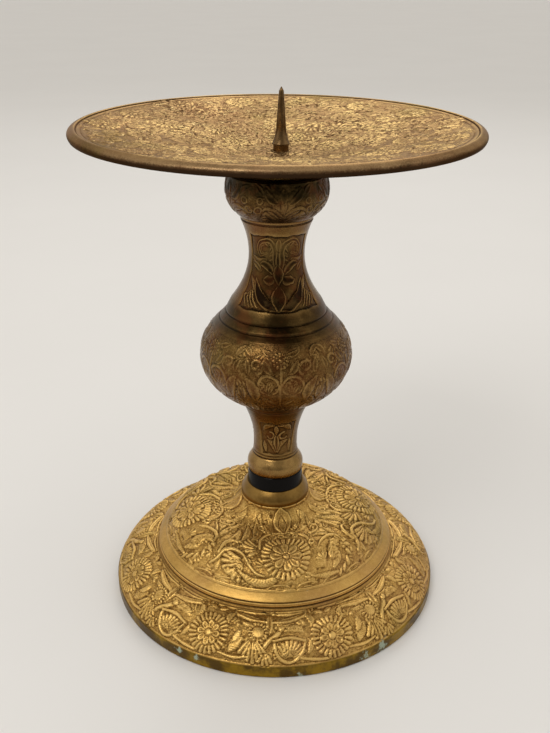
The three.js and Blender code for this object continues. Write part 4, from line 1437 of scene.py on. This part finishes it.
def rings():
    """The collar on the boss, the black spacer and the disc under the plate."""
    collar = sweep((BOSS_RADIUS, COLLAR_BOTTOM), 80, (COLLAR_TOP_RADIUS, RING_BOTTOM), 130, 16)
    plain_part("collar_piece", "foot_collar", with_bore(collar), COLLAR_BRASS, "stem_brass")
    ring = sweep((12.1, RING_BOTTOM), 95, (RING_TOP_RADIUS, STEM_BOTTOM), 98, 10)
    plain_part("black_ring_piece", "black_ring", with_bore(ring), BLACK_LACQUER, "black_lacquer")
    seat = sweep((SEAT_BOTTOM_RADIUS, SEAT_BOTTOM), 40, (19, PLATE_BOTTOM), 90, 10)
    plain_part("seat_piece", "plate_seat", with_bore(seat, PLATE_HOLE_RADIUS), COLLAR_BRASS, "stem_brass")


def pricket():
    """The spike with its skirt and threaded shank, and the small drum that it turns in."""
    bottom = high("pricket_collar")
    tip = high("pricket")
    shank_bottom = low("pricket")
    waist = bottom + PRICKET_WAIST_RISE
    shank = evenly([(PRICKET_THREAD_RADIUS, shank_bottom), (PRICKET_THREAD_RADIUS, bottom)], PRICKET_PITCH / 8)
    skirt = flare(PRICKET_WAIST_RADIUS, waist, PRICKET_SKIRT_RADIUS, bottom, 24)[::-1]
    spike = evenly([skirt[-1], (PRICKET_POINT_RADIUS, tip - PRICKET_POINT_HEIGHT)], 1.0)[1:]
    outline = np.vstack([[(0, shank_bottom)], shank, skirt, spike, [(0.12, tip - 0.05), (0, tip)]])
    thread = (PRICKET_PITCH, PRICKET_THREAD_DEPTH, shank_bottom, bottom - PRICKET_PITCH)
    plain_part("pricket_piece", "pricket", outline, DARK_BRASS, "dark_brass", 48, "pricket", centre=PRICKET_OFFSET,
               thread=thread)
    drum = with_bore([(PRICKET_COLLAR_RADIUS, PLATE_TOP), (PRICKET_COLLAR_RADIUS, bottom)], PLATE_HOLE_RADIUS)
    plain_part("pricket_collar_piece", "pricket_collar", drum, DARK_BRASS, "dark_brass", 64, "pricket_collar",
               centre=PRICKET_OFFSET)


def hardware():
    """The threaded rod through the stack, with its washer and hexagon nut under the foot."""
    rod_bottom = low("tie_rod")
    rod_top = high("tie_rod")
    cut_end = evenly([(ROD_RADIUS, rod_bottom + 0.4), (ROD_RADIUS, rod_bottom + ROD_THREADED)], ROD_PITCH / 8)
    rod = np.vstack([[(0, rod_bottom), (ROD_RADIUS - 0.5, rod_bottom)], cut_end, [(ROD_RADIUS, rod_top), (0, rod_top)]])
    thread = (ROD_PITCH, ROD_THREAD_DEPTH, rod_bottom + 0.2, rod_bottom + ROD_THREADED - 0.1)
    plain_part("rod_piece", "tie_rod", rod, ZINC_STEEL, "plain_steel", 48, thread=thread)

    washer_low = low("foot_washer")
    washer_high = high("foot_washer")
    outside = widest("foot_washer")
    rounded = [(outside - WASHER_ROUNDING, washer_low), (outside, washer_low + WASHER_ROUNDING),
               (outside, washer_high - WASHER_ROUNDING), (outside - WASHER_ROUNDING, washer_high)]
    washer = rounded + [(BORE_RADIUS, washer_high), (BORE_RADIUS, washer_low)]
    plain_part("washer_piece", "foot_washer", washer, ZINC_STEEL, "plain_steel", 96, "foot_washer")

    nut_low = low("foot_nut")
    nut_high = high("foot_nut")
    corner = NUT_HALF_FLATS / math.cos(math.pi / 6)
    blank = [(NUT_HALF_FLATS, nut_low), (corner, nut_low + NUT_CHAMFER), (corner, nut_high - NUT_CHAMFER),
             (NUT_HALF_FLATS, nut_high), (BORE_RADIUS, nut_high), (BORE_RADIUS, nut_low)]
    plain_part("nut_piece", "foot_nut", blank, ZINC_STEEL, "plain_steel", 144, "foot_nut", flats=NUT_HALF_FLATS)


# Stage


def stage():
    """A pale floor, a pale world and three soft lamps."""
    mesh = bpy.data.meshes.new("floor")
    reach = 12.0
    corners = [(-reach, -reach, 0), (reach, -reach, 0), (reach, reach, 0), (-reach, reach, 0)]
    mesh.from_pydata(corners, [], [(0, 1, 2, 3)])
    finish = Finish("pale_floor")
    speck = finish.noise(6.0, 3.0, 0.5)
    finish.set(Base_Color=finish.mix(speck, rgb(0.8, 0.785, 0.76), rgb(0.84, 0.825, 0.8)), Roughness=0.6)
    mesh.materials.append(finish.material)
    floor = bpy.data.objects.new("floor", mesh)
    bpy.context.scene.collection.objects.link(floor)
    studio_world()
    soft_lamp("key", (-0.42, -0.62, 1.0), 0.5, 3.4)
    soft_lamp("side", (-1.0, -0.35, 0.45), 0.8, 0.8)
    soft_lamp("fill", (0.95, -0.4, 0.55), 1.0, 0.8)
    soft_lamp("back", (0.1, 0.9, 0.9), 0.6, 1.8)


def studio_world():
    """A warm pale room, brighter above and behind the candlestick than in front of it."""
    world = bpy.data.worlds.new("studio")
    bpy.context.scene.world = world
    world.use_nodes = True
    room = Nodes(world.node_tree)
    _, away, up = room.parts(room.node("ShaderNodeTexCoord", output="Generated"))
    background = world.node_tree.nodes["Background"]
    background.inputs["Color"].default_value = rgb(1.0, 0.96, 0.9)
    room.feed(background.inputs["Strength"], (away * 0.7 + up).between(-0.8, 0.9) * 0.45 + 0.3)


def soft_lamp(name, place, size, power):
    """A square lamp that looks at the middle of the candlestick."""
    lamp = bpy.data.lights.new(name, "AREA")
    lamp.size = size
    lamp.energy = power
    holder = bpy.data.objects.new(name, lamp)
    holder.location = place
    holder.rotation_euler = (Vector((0, 0, 0.1)) - Vector(place)).to_track_quat("-Z", "Y").to_euler()
    bpy.context.scene.collection.objects.link(holder)


def camera():
    """The photograph's camera: in front of the axis, above it, looking down and very slightly rolled."""
    lens = bpy.data.cameras.new("camera")
    lens.sensor_width = SENSOR_WIDTH
    lens.lens = FOCAL_PIXELS / PHOTO_HEIGHT * SENSOR_WIDTH
    lens.shift_x = -AXIS_PIXELS_RIGHT / PHOTO_HEIGHT
    lens.clip_start = 0.01
    holder = bpy.data.objects.new("camera", lens)
    place = Matrix.Translation(Vector((0, -CAMERA_DISTANCE, CAMERA_HEIGHT)) * MM)
    tilt = Euler((math.radians(90 - CAMERA_PITCH), 0, 0)).to_matrix().to_4x4()
    roll = Matrix.Rotation(math.radians(CAMERA_ROLL), 4, "Z")
    holder.matrix_world = place @ tilt @ roll
    bpy.context.scene.collection.objects.link(holder)
    bpy.context.scene.camera = holder
    bpy.context.scene.view_settings.view_transform = "Standard"


rim()
moulding()
dome()
lower_stem()
ball()
neck()
cup()
plate()
rings()
pricket()
hardware()
stage()
camera()
